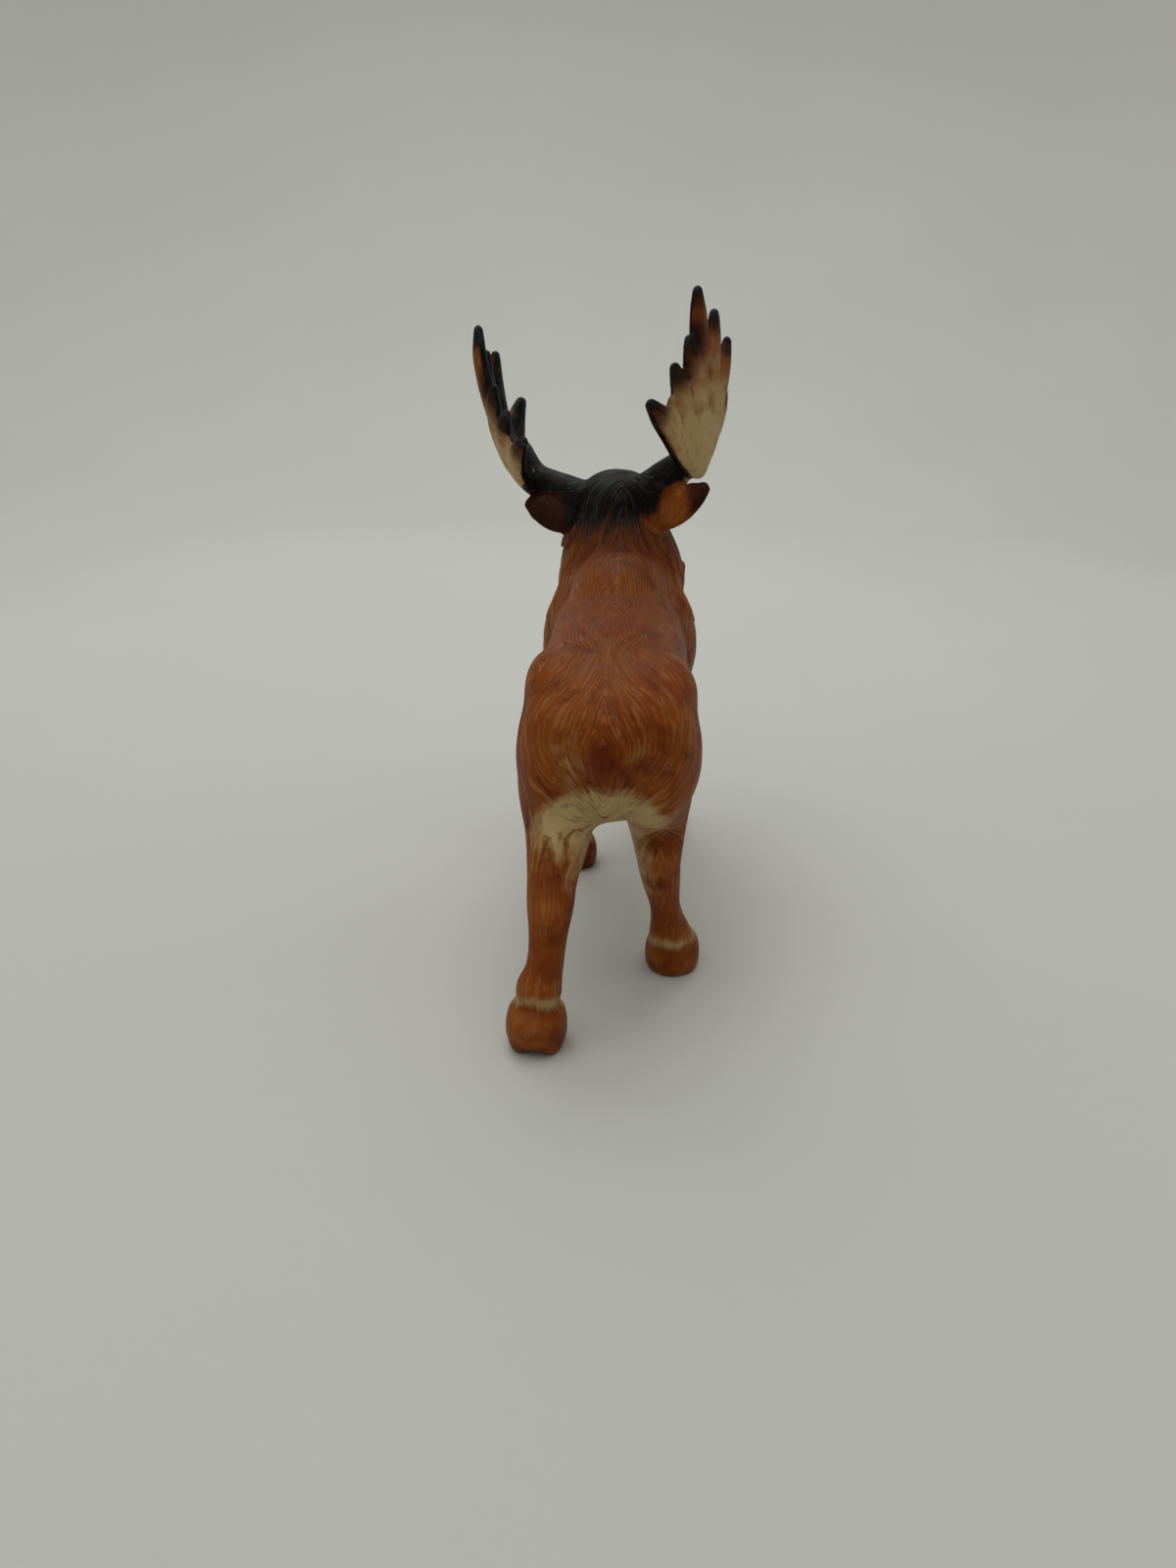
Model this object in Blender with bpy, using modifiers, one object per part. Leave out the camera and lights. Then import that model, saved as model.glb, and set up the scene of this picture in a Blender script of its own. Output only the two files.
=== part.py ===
"""A walking bull moose, a small figurine moulded in one piece of solid plastic.

Metres, +Z up, head towards -Y. The origin is on the floor, under the middle of the figure's box.
The animal is a free form, so its pose is drawn on a grid of 105 squares to its height. Closed lofts and
ellipsoids stand for its bones, muscles and antlers, and one skin is drawn over all of them.
"""

import math

import bmesh
import bpy
from mathutils import Matrix, Vector

# Driving dimensions
HEIGHT = 0.105  # floor to the tip of the highest tine
BODY_WIDTH = 0.027  # across the shoulders, and across the thighs
LEG_THICKNESS = 0.0054  # a leg below the hock
HOOF_WIDTH = 0.0088
ANTLER_SPAN = 0.046  # between the outermost tines of the two antlers
HEAD_TURN = math.radians(13.5)  # to the animal's right
HEAD_TILT = math.radians(9)  # the right antler is carried higher

# The grid that the pose is drawn on
SQUARE = HEIGHT / 105
BODY_HALF = BODY_WIDTH / 2 / SQUARE
LEG_HALF = LEG_THICKNESS / 2 / SQUARE
HOOF_HALF = HOOF_WIDTH / 2 / SQUARE
ANTLER_HALF = ANTLER_SPAN / 2 / SQUARE
POLL = Vector((1.2, -35.0, 73.4))  # the top of the head, between the antlers

# The skin, in squares: how finely it is drawn, and the rounds of smoothing over it
MUSCLE_VOXEL = 0.8
MUSCLE_ROUNDS = 30
SKIN_VOXEL = 0.42
SKIN_ROUNDS = 8
TRIANGLES = 9300  # of the finished solid
SOLE_LEVEL = 0.6  # the cut that makes the soles flat

# The mane's locks
LOCKS_AROUND = 22
LOCK_LENGTH = 8.5
LOCK_DEPTH = 0.85

SKIN_COLOUR = (0.42, 0.135, 0.035, 1)
SKIN_ROUGHNESS = 0.5


def clear_scene():
    for thing in list(bpy.data.objects):
        bpy.data.objects.remove(thing, do_unlink=True)


def smooth_row(rows, place):
    """The row at a place along the list, read from a curve that passes through every row."""
    last = len(rows) - 1
    start = min(int(place), last - 1)
    t = place - start
    before, a, b, after = (rows[min(max(start + k, 0), last)] for k in (-1, 0, 1, 2))
    return [
        0.5 * (2 * q + (r - p) * t + (2 * p - 5 * q + 4 * r - s) * t**2 + (3 * (q - r) + s - p) * t**3)
        for p, q, r, s in zip(before, a, b, after)
    ]


def rounded_end(inner, outer):
    """Rows that close a form with a dome beyond its outer row."""
    way = (Vector(outer[:3]) - Vector(inner[:3])).normalized()
    reach = 0.8 * min(outer[3], outer[4] + outer[5])
    rows = []
    for degrees in (30, 60, 80):
        centre = Vector(outer[:3]) + way * reach * math.sin(math.radians(degrees))
        rows.append([*centre, *(size * math.cos(math.radians(degrees)) for size in outer[3:])])
    return rows


def loft(skin, stations, across=(1, 0, 0), placed=Matrix(), steps=4, sides=20):
    """A closed form over egg-shaped sections, with rounded ends.

    A station is x, y, z, half the width, and the depth to either side of the width."""
    rows = [smooth_row(stations, k / steps) for k in range((len(stations) - 1) * steps + 1)]
    rows = rounded_end(rows[1], rows[0])[::-1] + rows + rounded_end(rows[-2], rows[-1])
    centres = [Vector(row[:3]) for row in rows]
    rings = []
    for k, (centre, row) in enumerate(zip(centres, rows)):
        along = (centres[min(k + 1, len(rows) - 1)] - centres[max(k - 1, 0)]).normalized()
        width_way = (Vector(across) - Vector(across).dot(along) * along).normalized()
        depth_way = along.cross(width_way)
        ring = []
        for j in range(sides):
            angle = math.tau * j / sides
            depth = row[4] if math.sin(angle) > 0 else row[5]
            point = centre + width_way * row[3] * math.cos(angle) + depth_way * depth * math.sin(angle)
            ring.append(skin.verts.new(placed @ point))
        rings.append(ring)
    faces = [skin.faces.new(rings[0]), skin.faces.new(rings[-1])]
    for one, other in zip(rings, rings[1:]):
        for j in range(sides):
            corners = (one[j - 1], one[j], other[j], other[j - 1])
            faces.append(skin.faces.new(corners))
    bmesh.ops.recalc_face_normals(skin, faces=faces)


def blob(skin, centre, radii, placed=Matrix()):
    shape = placed @ Matrix.Translation(centre) @ Matrix.Diagonal((*radii, 1))
    bmesh.ops.create_uvsphere(skin, u_segments=24, v_segments=16, radius=1, matrix=shape)


def add_trunk(skin):
    """Barrel, hump, shoulders and haunches. The widths are shares of half the body's width."""
    barrel = [
        (0, -36.5, 46, 0.4, 8, 8.5),
        (0, -32.5, 46.5, 0.72, 11, 13),
        (0, -26, 46.5, 0.88, 13.5, 14.6),
        (0, -17, 46, 0.88, 13.8, 14.4),
        (0, -6, 45.5, 0.9, 12.2, 13),
        (0, 6, 45, 0.92, 10.8, 10.8),
        (0, 17, 45, 0.92, 10, 8.6),
        (-0.3, 25, 45, 0.88, 9.4, 8.4),
        (-0.4, 30, 44.2, 0.68, 8.4, 8.4),
    ]
    loft(skin, [(x, y, z, w * BODY_HALF, down, up) for x, y, z, w, up, down in barrel], sides=28)
    blob(skin, (0, -21, 56), (8.5, 14, 7.2))
    for side in (1, -1):
        blob(skin, (side * 0.62 * BODY_HALF, -24, 45.5), (0.42 * BODY_HALF, 9, 11.3))
    for side, inset, lift in ((1, 0.3, 1.2), (-1, -0.3, 0)):
        middle = side * (BODY_HALF / 2 - inset)
        blob(skin, (middle, 25, 41), (0.51 * BODY_HALF, 10.5, 11.5))
        blob(skin, (middle, 20, 48 + lift), (0.46 * BODY_HALF, 10, 6.6))
    for out, behind in ((0.51, 28), (-0.53, 21)):
        blob(skin, (out * BODY_HALF, behind, 33), (0.37 * BODY_HALF, 6, 7))
    blob(skin, (-0.4, 27.5, 42), (0.66 * BODY_HALF, 8, 10))
    blob(skin, (-0.4, 26, 38.5), (0.42 * BODY_HALF, 8, 7.8))


def add_neck(skin):
    neck = [
        (0, -25, 45, 9.8, 11, 12),
        (0, -28, 52, 10.9, 10.5, 11.5),
        (0.2, -30.5, 58, 11.2, 9.6, 9.8),
        (0.9, -33, 64, 9.9, 7.8, 7.8),
        (1.1, -35.5, 69.5, 8, 6.4, 6.4),
    ]
    loft(skin, neck, sides=24)


def head_place():
    """From head squares (right, forward, up, from the poll) to the body's."""
    turned = Matrix.Rotation(-HEAD_TURN, 4, "Z") @ Matrix.Rotation(HEAD_TILT, 4, "Y")
    return Matrix.Translation(POLL) @ turned @ Matrix.Diagonal((-1, -1, 1, 1))


HEAD_DROOP = math.radians(33)  # the face, below the level


def face_point(place, height, side=0):
    """A point of the face: along it from the poll, square to it, and to the right."""
    down = math.sin(HEAD_DROOP)
    level = math.cos(HEAD_DROOP)
    return Vector((side, place * level + height * down, height * level - place * down))


def add_skull(skin):
    add_face_loft(skin, SKULL)


def add_face_loft(skin, profile):
    stations = []
    for place, half, top, under in profile:
        depth = (top - under) / 2
        stations.append((*face_point(place, (top + under) / 2), half, depth, depth))
    loft(skin, stations, placed=head_place(), sides=24)


# Along the head: the place from the poll, half the width, the top and the underside
SKULL = [
    (-1.5, 5.6, 0, -9),
    (1.5, 6.6, 1.2, -11.5),
    (5, 6.4, 1.0, -12.6),
    (9.5, 5.2, 0.2, -12.4),
    (15.5, 4.4, -0.7, -11),
]
MUZZLE = [
    (6, 5.4, 0.2, -12),
    (10, 4.9, -0.1, -12.2),
    (15.5, 4.2, -0.8, -11),
    (21, 4.2, -0.7, -10.8),
    (25.5, 5.0, -0.6, -12.2),
    (29.2, 5.3, -1.8, -13.2),
    (31.6, 4.5, -4.2, -13),
]


def add_face(skin):
    """Muzzle, brows, eyes, nostrils, cheeks and chin."""
    add_face_loft(skin, MUZZLE)
    for side in (1, -1):
        blob(skin, face_point(6.0, -1.8, side * 4.6), (1.8, 3, 1.5), head_place())
        blob(skin, face_point(7.2, -3.9, side * 4.9), (1.3, 1.4, 1.3), head_place())
        blob(skin, face_point(29.4, -5.2, side * 3.7), (1.9, 2.8, 2.4), head_place())
        blob(skin, face_point(6, -8.4, side * 3.7), (2.5, 5, 4), head_place())
    blob(skin, face_point(27, -12), (3, 2.6, 2.2), head_place())


def add_bell(skin):
    """The flap of skin that hangs from the throat."""
    bell = [
        (0, 5.5, -13, 2.6, 3.4, 3.4),
        (0, 7.4, -19, 2.3, 3.2, 3.2),
        (0, 8.4, -24.5, 1.8, 2.5, 2.5),
        (0, 8.8, -28.5, 1.2, 1.6, 1.6),
    ]
    loft(skin, bell, placed=head_place(), sides=12)


# Side, reach and droop of each ear
EARS = ((1, 1.12, 1.6), (-1, 1, 0.2))


def add_ears(skin):
    """Leaves that stand out below the antlers."""
    leaf = [
        (4.6, -2.6, -5.6, 2.0, 1.5),
        (7.6, -4.0, -5.0, 3.2, 1.5),
        (11, -5.0, -3.7, 3.5, 1.3),
        (14, -5.4, -2.2, 2.5, 1.0),
        (15.4, -5.4, -1.4, 1.4, 0.8),
    ]
    for side, reach, droop in EARS:
        stations = [(side * reach * x, y, z - droop, w, d, d) for x, y, z, w, d in leaf]
        loft(skin, stations, across=(0, 0.35, 1), placed=head_place(), sides=14)


# Tips of the tines from the rear to the front: out from the head as a share of half the span, forward, and the
# height on the right and on the left antler, which are not quite a pair
TINES = [
    (0.50, -13.7, 12.6, 9.6),
    (0.675, -9.6, 18, 14.8),
    (0.785, -7.0, 22, 19.6),
    (0.87, -5.0, 29.7, 30),
    (0.93, 0.5, 26, 26),
    (0.955, 6.6, 21.3, 26),
    (0.85, 10.3, 12.8, 17),
]
PALM_ROOT = Vector((15.8, -1, 1.8))
PALM_BULGE = {1: 0.4, -1: 2.7}  # how far each palm swells outwards, right and left
WEBS = (0.8, 0.64, 0.64, 0.64, 0.64, 0.64)  # how far up the tines the palm between each pair reaches
WEB_THINNING = 0.72  # the web's thickness against a tine's, so that the tines stand out as ribs
# Along a tine from the palm's root: share of its length, half its width, half its thickness
TINE_FORM = ((0, 2.2, 1.7), (0.3, 2.7, 1.5), (0.55, 2.5, 1.5), (0.8, 2.1, 1.35), (0.98, 1.15, 0.85))


def add_ray(skin, root, tip, reach, thinning, fan, swell, placed):
    """A finger of the palm as far as a share of the way to its tip, bowed outwards."""
    stations = []
    for share, half, thick in TINE_FORM:
        way = share * reach
        middle = root.lerp(tip, way) + Vector((swell * 4 * way * (1 - way), 0, 0))
        stations.append((*middle, half, thick * thinning, thick * thinning))
    loft(skin, stations, across=fan, placed=placed, sides=12)


def add_antlers(skin):
    """Each antler is a thick beam and a cupped palm, whose tines stand up like the fingers of a hand."""
    beam = [
        (2, -1.5, -3.5, 3.8, 3.2, 5.2),
        (6, -1.6, -2.1, 3.6, 3.1, 5),
        (9.5, -1.6, -0.4, 3.3, 3, 4.2),
        (12.6, -1.3, 1.4, 3.2, 2.6, 3),
        (15.4, -1, 3.8, 3.8, 2, 2),
        (17.2, -0.8, 8, 4.4, 1.5, 1.5),
    ]
    last = len(TINES) - 1
    for side, column in ((1, 2), (-1, 3)):
        mirrored = head_place() @ Matrix.Diagonal((side, 1, 1, 1))
        tips = [Vector((row[0] * ANTLER_HALF, row[1], row[column])) for row in TINES]
        loft(skin, beam, across=(0, 1, 0), placed=mirrored, sides=14)
        for k, tip in enumerate(tips):
            fan = tips[min(k + 1, last)] - tips[max(k - 1, 0)]
            root = PALM_ROOT + fan.normalized() * (k - last / 2) * 0.6
            add_ray(skin, root, tip, 1, 1, fan, PALM_BULGE[side], mirrored)
        for one, other, reach in zip(tips, tips[1:], WEBS):
            middle = one.lerp(other, 0.5)
            add_ray(skin, PALM_ROOT, middle, reach, WEB_THINNING, other - one, PALM_BULGE[side], mirrored)


# Each leg from the body down: x, y, z, and half the width and the depths ahead and behind as shares of half the
# leg's thickness
LEGS = {
    "hind_left": [
        (6.4, 22, 43, 2.4, 3.4, 3.3),
        (7.0, 25, 36, 2.25, 2.7, 2.3),
        (6.8, 29.5, 30, 1.8, 1.75, 1.75),
        (7.3, 34, 25, 1.38, 1.3, 1.3),
        (7.4, 36.8, 21.5, 1.25, 1.2, 1.3),
        (7.7, 38, 17, 1.02, 1.0, 1.0),
        (8.1, 38.8, 13, 1.0, 1.0, 1.0),
        (8.8, 39.6, 10.2, 1.22, 1.2, 1.25),
        (9.2, 39.8, 8.2, 1.14, 1.1, 1.1),
    ],
    "hind_right": [
        (-6.4, 21, 43, 2.3, 3.6, 3.4),
        (-7.1, 19, 35, 2.3, 2.6, 2.6),
        (-7.6, 19.5, 28, 1.72, 1.7, 1.7),
        (-7.9, 21, 23, 1.3, 1.25, 1.35),
        (-8.2, 20.5, 19.5, 1.15, 1.1, 1.15),
        (-8.9, 18.5, 14.5, 0.9, 0.95, 0.95),
        (-9.4, 17.3, 10.8, 0.98, 1.0, 1.0),
        (-9.9, 16.4, 7.8, 1.24, 1.2, 1.25),
        (-10.2, 15.8, 5.6, 1.35, 1.25, 1.3),
    ],
    "front_left": [
        (7.2, -23, 42, 2.0, 3.2, 3.2),
        (7.6, -21.5, 34, 1.7, 2.2, 2.2),
        (7.8, -22.5, 27, 1.35, 1.6, 1.5),
        (8.0, -24.2, 20.5, 1.28, 1.35, 1.25),
        (8.2, -24.6, 15.5, 0.95, 1.0, 1.0),
        (8.4, -24.9, 11, 0.98, 1.0, 1.0),
        (8.5, -25.2, 7.8, 1.2, 1.2, 1.2),
        (8.6, -25.5, 5.2, 1.25, 1.2, 1.2),
    ],
    "front_right": [
        (-7.2, -26, 42, 2.0, 3.2, 3.2),
        (-7.6, -28.5, 34.5, 1.7, 2.2, 2.2),
        (-7.8, -33, 28, 1.35, 1.55, 1.55),
        (-7.9, -37.5, 22, 1.28, 1.3, 1.3),
        (-8.0, -40, 17, 0.95, 1.0, 1.0),
        (-8.0, -42.5, 12, 0.98, 1.0, 1.0),
        (-8.0, -44.4, 8.4, 1.2, 1.2, 1.2),
        (-8.0, -45.6, 5.4, 1.25, 1.2, 1.2),
    ],
}
# Where each hoof stands, how far its heel is raised, and its turn
HOOVES = {
    "hind_left": ((9.4, 40.9, 0), math.radians(20), math.radians(-4)),
    "hind_right": ((-10.4, 14.4, 0), 0, math.radians(-8)),
    "front_left": ((8.6, -26.2, 0), 0, math.radians(4)),
    "front_right": ((-8.0, -46.6, 0), math.radians(-3), math.radians(-4)),
}


def add_legs(skin):
    for stations in LEGS.values():
        scaled = [(x, y, z, w * LEG_HALF, a * LEG_HALF, b * LEG_HALF) for x, y, z, w, a, b in stations]
        loft(skin, scaled, sides=18)


def add_hooves(skin):
    for stand, heel_up, turn in HOOVES.values():
        add_hoof(skin, stand, heel_up, turn)


def add_hoof(skin, stand, heel_up, turn):
    """Two rounded claws side by side. Sizes are shares of half the hoof's width."""
    claw = [
        (0.24, 0.10, 1.5, 0.44, 0.6, 0.65),
        (0.34, 0.05, 1.2, 0.58, 0.9, 0.85),
        (0.41, 0.0, 0.8, 0.60, 1.02, 0.95),
        (0.43, -0.06, 0.42, 0.56, 1.14, 0.9),
        (0.42, -0.06, 0.1, 0.46, 1.06, 0.76),
    ]
    toe = Matrix.Translation((0, -0.8 * HOOF_HALF, 0.1 * HOOF_HALF))
    pitched = toe @ Matrix.Rotation(heel_up, 4, "X") @ toe.inverted()
    placed = Matrix.Translation(stand) @ Matrix.Rotation(turn, 4, "Z") @ pitched
    for side in (1, -1):
        stations = [
            (side * x * HOOF_HALF, y * HOOF_HALF, z * HOOF_HALF, w * HOOF_HALF, a * HOOF_HALF, b * HOOF_HALF)
            for x, y, z, w, a, b in claw
        ]
        loft(skin, stations, placed=placed, sides=16)
    heel = [HOOF_HALF * share for share in (0, 0.36, 0.7)]
    blob(skin, heel, [HOOF_HALF * share for share in (0.9, 0.82, 0.78)], placed)


def add_tail(skin):
    tail = [
        (-0.3, 31.5, 50, 2.2, 1.6, 1.6),
        (-0.6, 35.4, 46.4, 3.1, 1.6, 1.6),
        (-0.8, 36.5, 43, 3.1, 1.4, 1.4),
        (-0.9, 36.3, 39.6, 2.0, 1.0, 1.0),
    ]
    loft(skin, tail, sides=14)


def fade(value, start, end):
    """0 at the start, 1 at the end, and smooth between them."""
    way = min(max((value - start) / (end - start), 0), 1)
    return way * way * (3 - 2 * way)


def mane_share(point):
    """How shaggy the coat is at a point: most of all on the throat and the chest, less on the nape."""
    level = fade(point.z, 38, 46) * fade(point.z, 70, 64)
    along = fade(point.y, -10, -24) * fade(point.y, -46, -42.5)
    return level * along * (0.3 + 0.7 * fade(point.y, -22, -38))


def lock_relief(point):
    """How far a lock stands out at a point. Locks hang in rows round the neck, each row half a lock on."""
    angle = math.atan2(point.x, -30 - point.y)
    down = point.z / LOCK_LENGTH + 0.3 * math.sin(3 * angle)
    row = math.floor(down)
    from_tip = down - row
    off = (LOCKS_AROUND * angle / math.tau + row / 2) % 1 - 0.5
    half = min(0.5, 0.15 + from_tip)
    return max(0, 1 - (off / half) ** 2) * (1 - from_tip)


def dents():
    """Nostrils, mouth and the hollows of the ears: a centre, a radius and a depth for each."""
    placed = head_place()
    for side, reach, droop in EARS:
        yield placed @ Vector((side * reach * 10.5, -3.7, -3.9 - droop)), 3.2, 0.7
        yield placed @ face_point(30.4, -5.4, side * 4.9), 1.6, 1
        for k in range(8):
            yield placed @ face_point(23 + 1.1 * k, -9.3 - 0.1 * k, side * 5), 1, 0.4


def carve(thing):
    """Raise the mane's locks and press the dents in."""
    pressed = list(dents())
    moves = []
    for vertex in thing.data.vertices:
        rise = LOCK_DEPTH * mane_share(vertex.co) * lock_relief(vertex.co)
        for centre, radius, depth in pressed:
            away = (vertex.co - centre).length / radius
            if away < 1:
                rise -= depth * (1 - away**2) ** 2
        moves.append(vertex.normal * rise)
    for vertex, move in zip(thing.data.vertices, moves):
        vertex.co += move


def evaluated(thing):
    """A new mesh of the object as its modifiers leave it."""
    shape = bpy.data.meshes.new_from_object(thing.evaluated_get(bpy.context.evaluated_depsgraph_get()))
    thing.modifiers.clear()
    return shape


def draw_skin(thing, forms, voxel, rounds):
    """One skin over the object's mesh and more forms, then softened."""
    skin = bmesh.new()
    skin.from_mesh(thing.data)
    for add in forms:
        add(skin)
    skin.to_mesh(thing.data)
    skin.free()
    remesh = thing.modifiers.new("One skin", "REMESH")
    remesh.mode = "VOXEL"
    remesh.voxel_size = voxel
    soften = thing.modifiers.new("Soften", "SMOOTH")
    soften.factor = 0.5
    soften.iterations = rounds
    thing.data = evaluated(thing)


def reduce_faces(thing):
    thinner = thing.modifiers.new("Fewer faces", "DECIMATE")
    thinner.ratio = TRIANGLES / (2 * len(thing.data.polygons))
    thinner.use_collapse_triangulate = True
    thing.data = evaluated(thing)


def cut_soles(thing):
    """The hooves are cut flat at the floor."""
    skin = bmesh.new()
    skin.from_mesh(thing.data)
    everything = skin.verts[:] + skin.edges[:] + skin.faces[:]
    level = (0, 0, SOLE_LEVEL)
    bmesh.ops.bisect_plane(skin, geom=everything, plane_co=level, plane_no=(0, 0, 1), clear_inner=True)
    bmesh.ops.remove_doubles(skin, verts=skin.verts[:], dist=SKIN_VOXEL / 40)
    rims = [edge for edge in skin.edges if edge.is_boundary]
    bmesh.ops.holes_fill(skin, edges=rims, sides=0)
    bmesh.ops.triangulate(skin, faces=skin.faces[:])
    bmesh.ops.recalc_face_normals(skin, faces=skin.faces[:])
    skin.to_mesh(thing.data)
    skin.free()


def centre_on_floor(thing):
    """The lowest point on the floor, and the box's middle over the origin."""
    lows = [min(vertex.co[k] for vertex in thing.data.vertices) for k in range(3)]
    highs = [max(vertex.co[k] for vertex in thing.data.vertices) for k in range(3)]
    shift = Vector((-(lows[0] + highs[0]) / 2, -(lows[1] + highs[1]) / 2, -lows[2]))
    thing.data.transform(Matrix.Translation(shift))


def plastic():
    paint = bpy.data.materials.new("painted_plastic")
    paint.use_nodes = True
    shader = paint.node_tree.nodes["Principled BSDF"]
    shader.inputs["Base Color"].default_value = SKIN_COLOUR
    shader.inputs["Roughness"].default_value = SKIN_ROUGHNESS
    shader.inputs["Metallic"].default_value = 0
    return paint


def make_moose():
    moose = bpy.data.objects.new("moose_figurine", bpy.data.meshes.new("forms"))
    home = bpy.data.collections.new("moose_figurine")
    bpy.context.scene.collection.children.link(home)
    home.objects.link(moose)
    muscles = (add_trunk, add_neck, add_skull, add_legs)
    features = (add_face, add_bell, add_ears, add_antlers, add_legs, add_hooves, add_tail)
    draw_skin(moose, muscles, MUSCLE_VOXEL, MUSCLE_ROUNDS)
    draw_skin(moose, features, SKIN_VOXEL, SKIN_ROUNDS)
    carve(moose)
    reduce_faces(moose)
    cut_soles(moose)
    moose.data.transform(Matrix.Scale(SQUARE, 4))
    centre_on_floor(moose)
    moose.data.name = "moose_figurine"
    moose.data.materials.clear()
    moose.data.materials.append(plastic())
    moose.data.shade_smooth()
    return moose


clear_scene()
make_moose()
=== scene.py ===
# %% [markdown]
# # A walking moose, moulded in one piece of plastic
#
# The real thing is a toy some ten centimetres tall: one solid casting of semi-matte plastic with a carved
# coat, airbrushed in orange-brown, dark brown, black and cream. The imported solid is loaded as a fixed
# frame: it has the pose and the outline, but not the hair. This script draws the same forms again under a
# much finer skin, combs and carves its hair, and paints the result.

# %% Load the frame
import itertools
import math

import bmesh
import bpy
import numpy as np
from mathutils import Matrix, Vector


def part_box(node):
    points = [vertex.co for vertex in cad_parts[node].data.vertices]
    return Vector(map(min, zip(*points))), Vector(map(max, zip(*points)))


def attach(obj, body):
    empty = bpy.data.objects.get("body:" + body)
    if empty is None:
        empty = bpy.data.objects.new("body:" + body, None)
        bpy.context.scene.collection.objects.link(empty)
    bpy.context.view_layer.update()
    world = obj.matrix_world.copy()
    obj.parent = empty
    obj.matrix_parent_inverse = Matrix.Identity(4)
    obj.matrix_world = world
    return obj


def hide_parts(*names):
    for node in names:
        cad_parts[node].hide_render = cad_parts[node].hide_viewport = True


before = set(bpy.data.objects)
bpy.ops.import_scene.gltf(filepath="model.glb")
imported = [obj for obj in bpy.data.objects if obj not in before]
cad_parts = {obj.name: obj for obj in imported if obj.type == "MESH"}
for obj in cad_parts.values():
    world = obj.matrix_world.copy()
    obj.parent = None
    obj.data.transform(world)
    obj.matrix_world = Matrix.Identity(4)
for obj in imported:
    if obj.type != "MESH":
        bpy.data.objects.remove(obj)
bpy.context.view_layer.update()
solid_low, solid_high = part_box("moose_figurine")
print("the solid is", [round(1000 * side, 1) for side in solid_high - solid_low], "mm")

# %% [markdown]
# ## Camera
#
# The picture was taken by hand from behind and above, close enough for strong perspective: the hind hooves
# look much larger than the front ones. A camera could be placed by eye until the outline fits. Here its
# height, distance and tilt were worked out from where the hooves and the antlers' tips fall in the picture.
# The sensor's 36 mm lie along the picture's long side.

# %% The camera
CAMERA_PLACE = (-0.0115, 0.1945, 0.0944)
VIEW_DOWN = math.radians(20)
VIEW_TURN = math.radians(3.55)
LENS = 27
SENSOR = 36

camera = bpy.data.objects.new("camera", bpy.data.cameras.new("camera"))
bpy.context.scene.collection.objects.link(camera)
bpy.context.scene.camera = camera
camera.location = CAMERA_PLACE
camera.rotation_euler = (math.pi / 2 - VIEW_DOWN, 0, math.pi + VIEW_TURN)
camera.data.lens = LENS
camera.data.sensor_width = SENSOR
camera.data.clip_start = 0.01
print("the camera is", round(1000 * camera.location.y), "mm behind the figurine's middle")

# %% [markdown]
# ## Nodes in few words
#
# Every finish below is a node material. Writing each node and link out in full hides what it does, so a
# short helper makes a node with its settings and its inputs. An input, by its name or number, is a number,
# a colour or another node's socket.


# %% Helpers for node materials
def add_node(tree, kind, inputs=(), **settings):
    """A shader node with its settings and inputs. Its first output is given back."""
    made = tree.nodes.new(kind)
    for name, value in settings.items():
        setattr(made, name, value)
    for name, value in dict(inputs).items():
        if isinstance(value, bpy.types.NodeSocket):
            tree.links.new(value, made.inputs[name])
        else:
            made.inputs[name].default_value = value
    return made.outputs[0]


def new_finish(name):
    """An empty node material, and its Principled shader."""
    finish = bpy.data.materials.new(name)
    finish.use_nodes = True
    return finish, finish.node_tree, finish.node_tree.nodes["Principled BSDF"]


print("two helpers: add_node and new_finish")

# %% [markdown]
# ## Floor
#
# The toy stands on pale paper. A strip of paper that sweeps up behind it would do for one picture. This one
# is a dish: a level floor, a wide bend and a wall all round, so that the piece can be looked at from any
# side.

# %% The paper dish
DISH_FLOOR = 0.5
DISH_BEND = 0.45
DISH_TOP = 1.3
BEND_STEPS = 24
TURN_STEPS = 96

profile = [(DISH_FLOOR, 0)]
for step in range(1, BEND_STEPS + 1):
    turn = math.pi / 2 * step / BEND_STEPS
    profile.append((DISH_FLOOR + DISH_BEND * math.sin(turn), DISH_BEND * (1 - math.cos(turn))))
profile.append((DISH_FLOOR + DISH_BEND, DISH_TOP))
turns = [math.tau * step / TURN_STEPS for step in range(TURN_STEPS)]
paper_mesh = bmesh.new()
rings = []
for radius, level in profile:
    spots = [(radius * math.cos(turn), radius * math.sin(turn), level) for turn in turns]
    rings.append([paper_mesh.verts.new(spot) for spot in spots])
paper_mesh.faces.new(rings[0])
for one, other in zip(rings, rings[1:]):
    for j in range(TURN_STEPS):
        paper_mesh.faces.new((one[j], one[j - 1], other[j - 1], other[j]))
paper = bpy.data.objects.new("paper_dish", bpy.data.meshes.new("paper_dish"))
paper_mesh.to_mesh(paper.data)
paper.data.shade_smooth()
bpy.context.scene.collection.objects.link(paper)
print("the dish has", len(paper.data.polygons), "faces")

# %% [markdown]
# ## Paper
#
# Plain grey-white paper is dull and all but even. One colour would look like plastic, so a soft noise moves
# it between two tones that are close together.

# %% Pale paper
PAPER_DARK = (0.56, 0.566, 0.53, 1)
PAPER_LIGHT = (0.61, 0.616, 0.58, 1)

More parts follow.
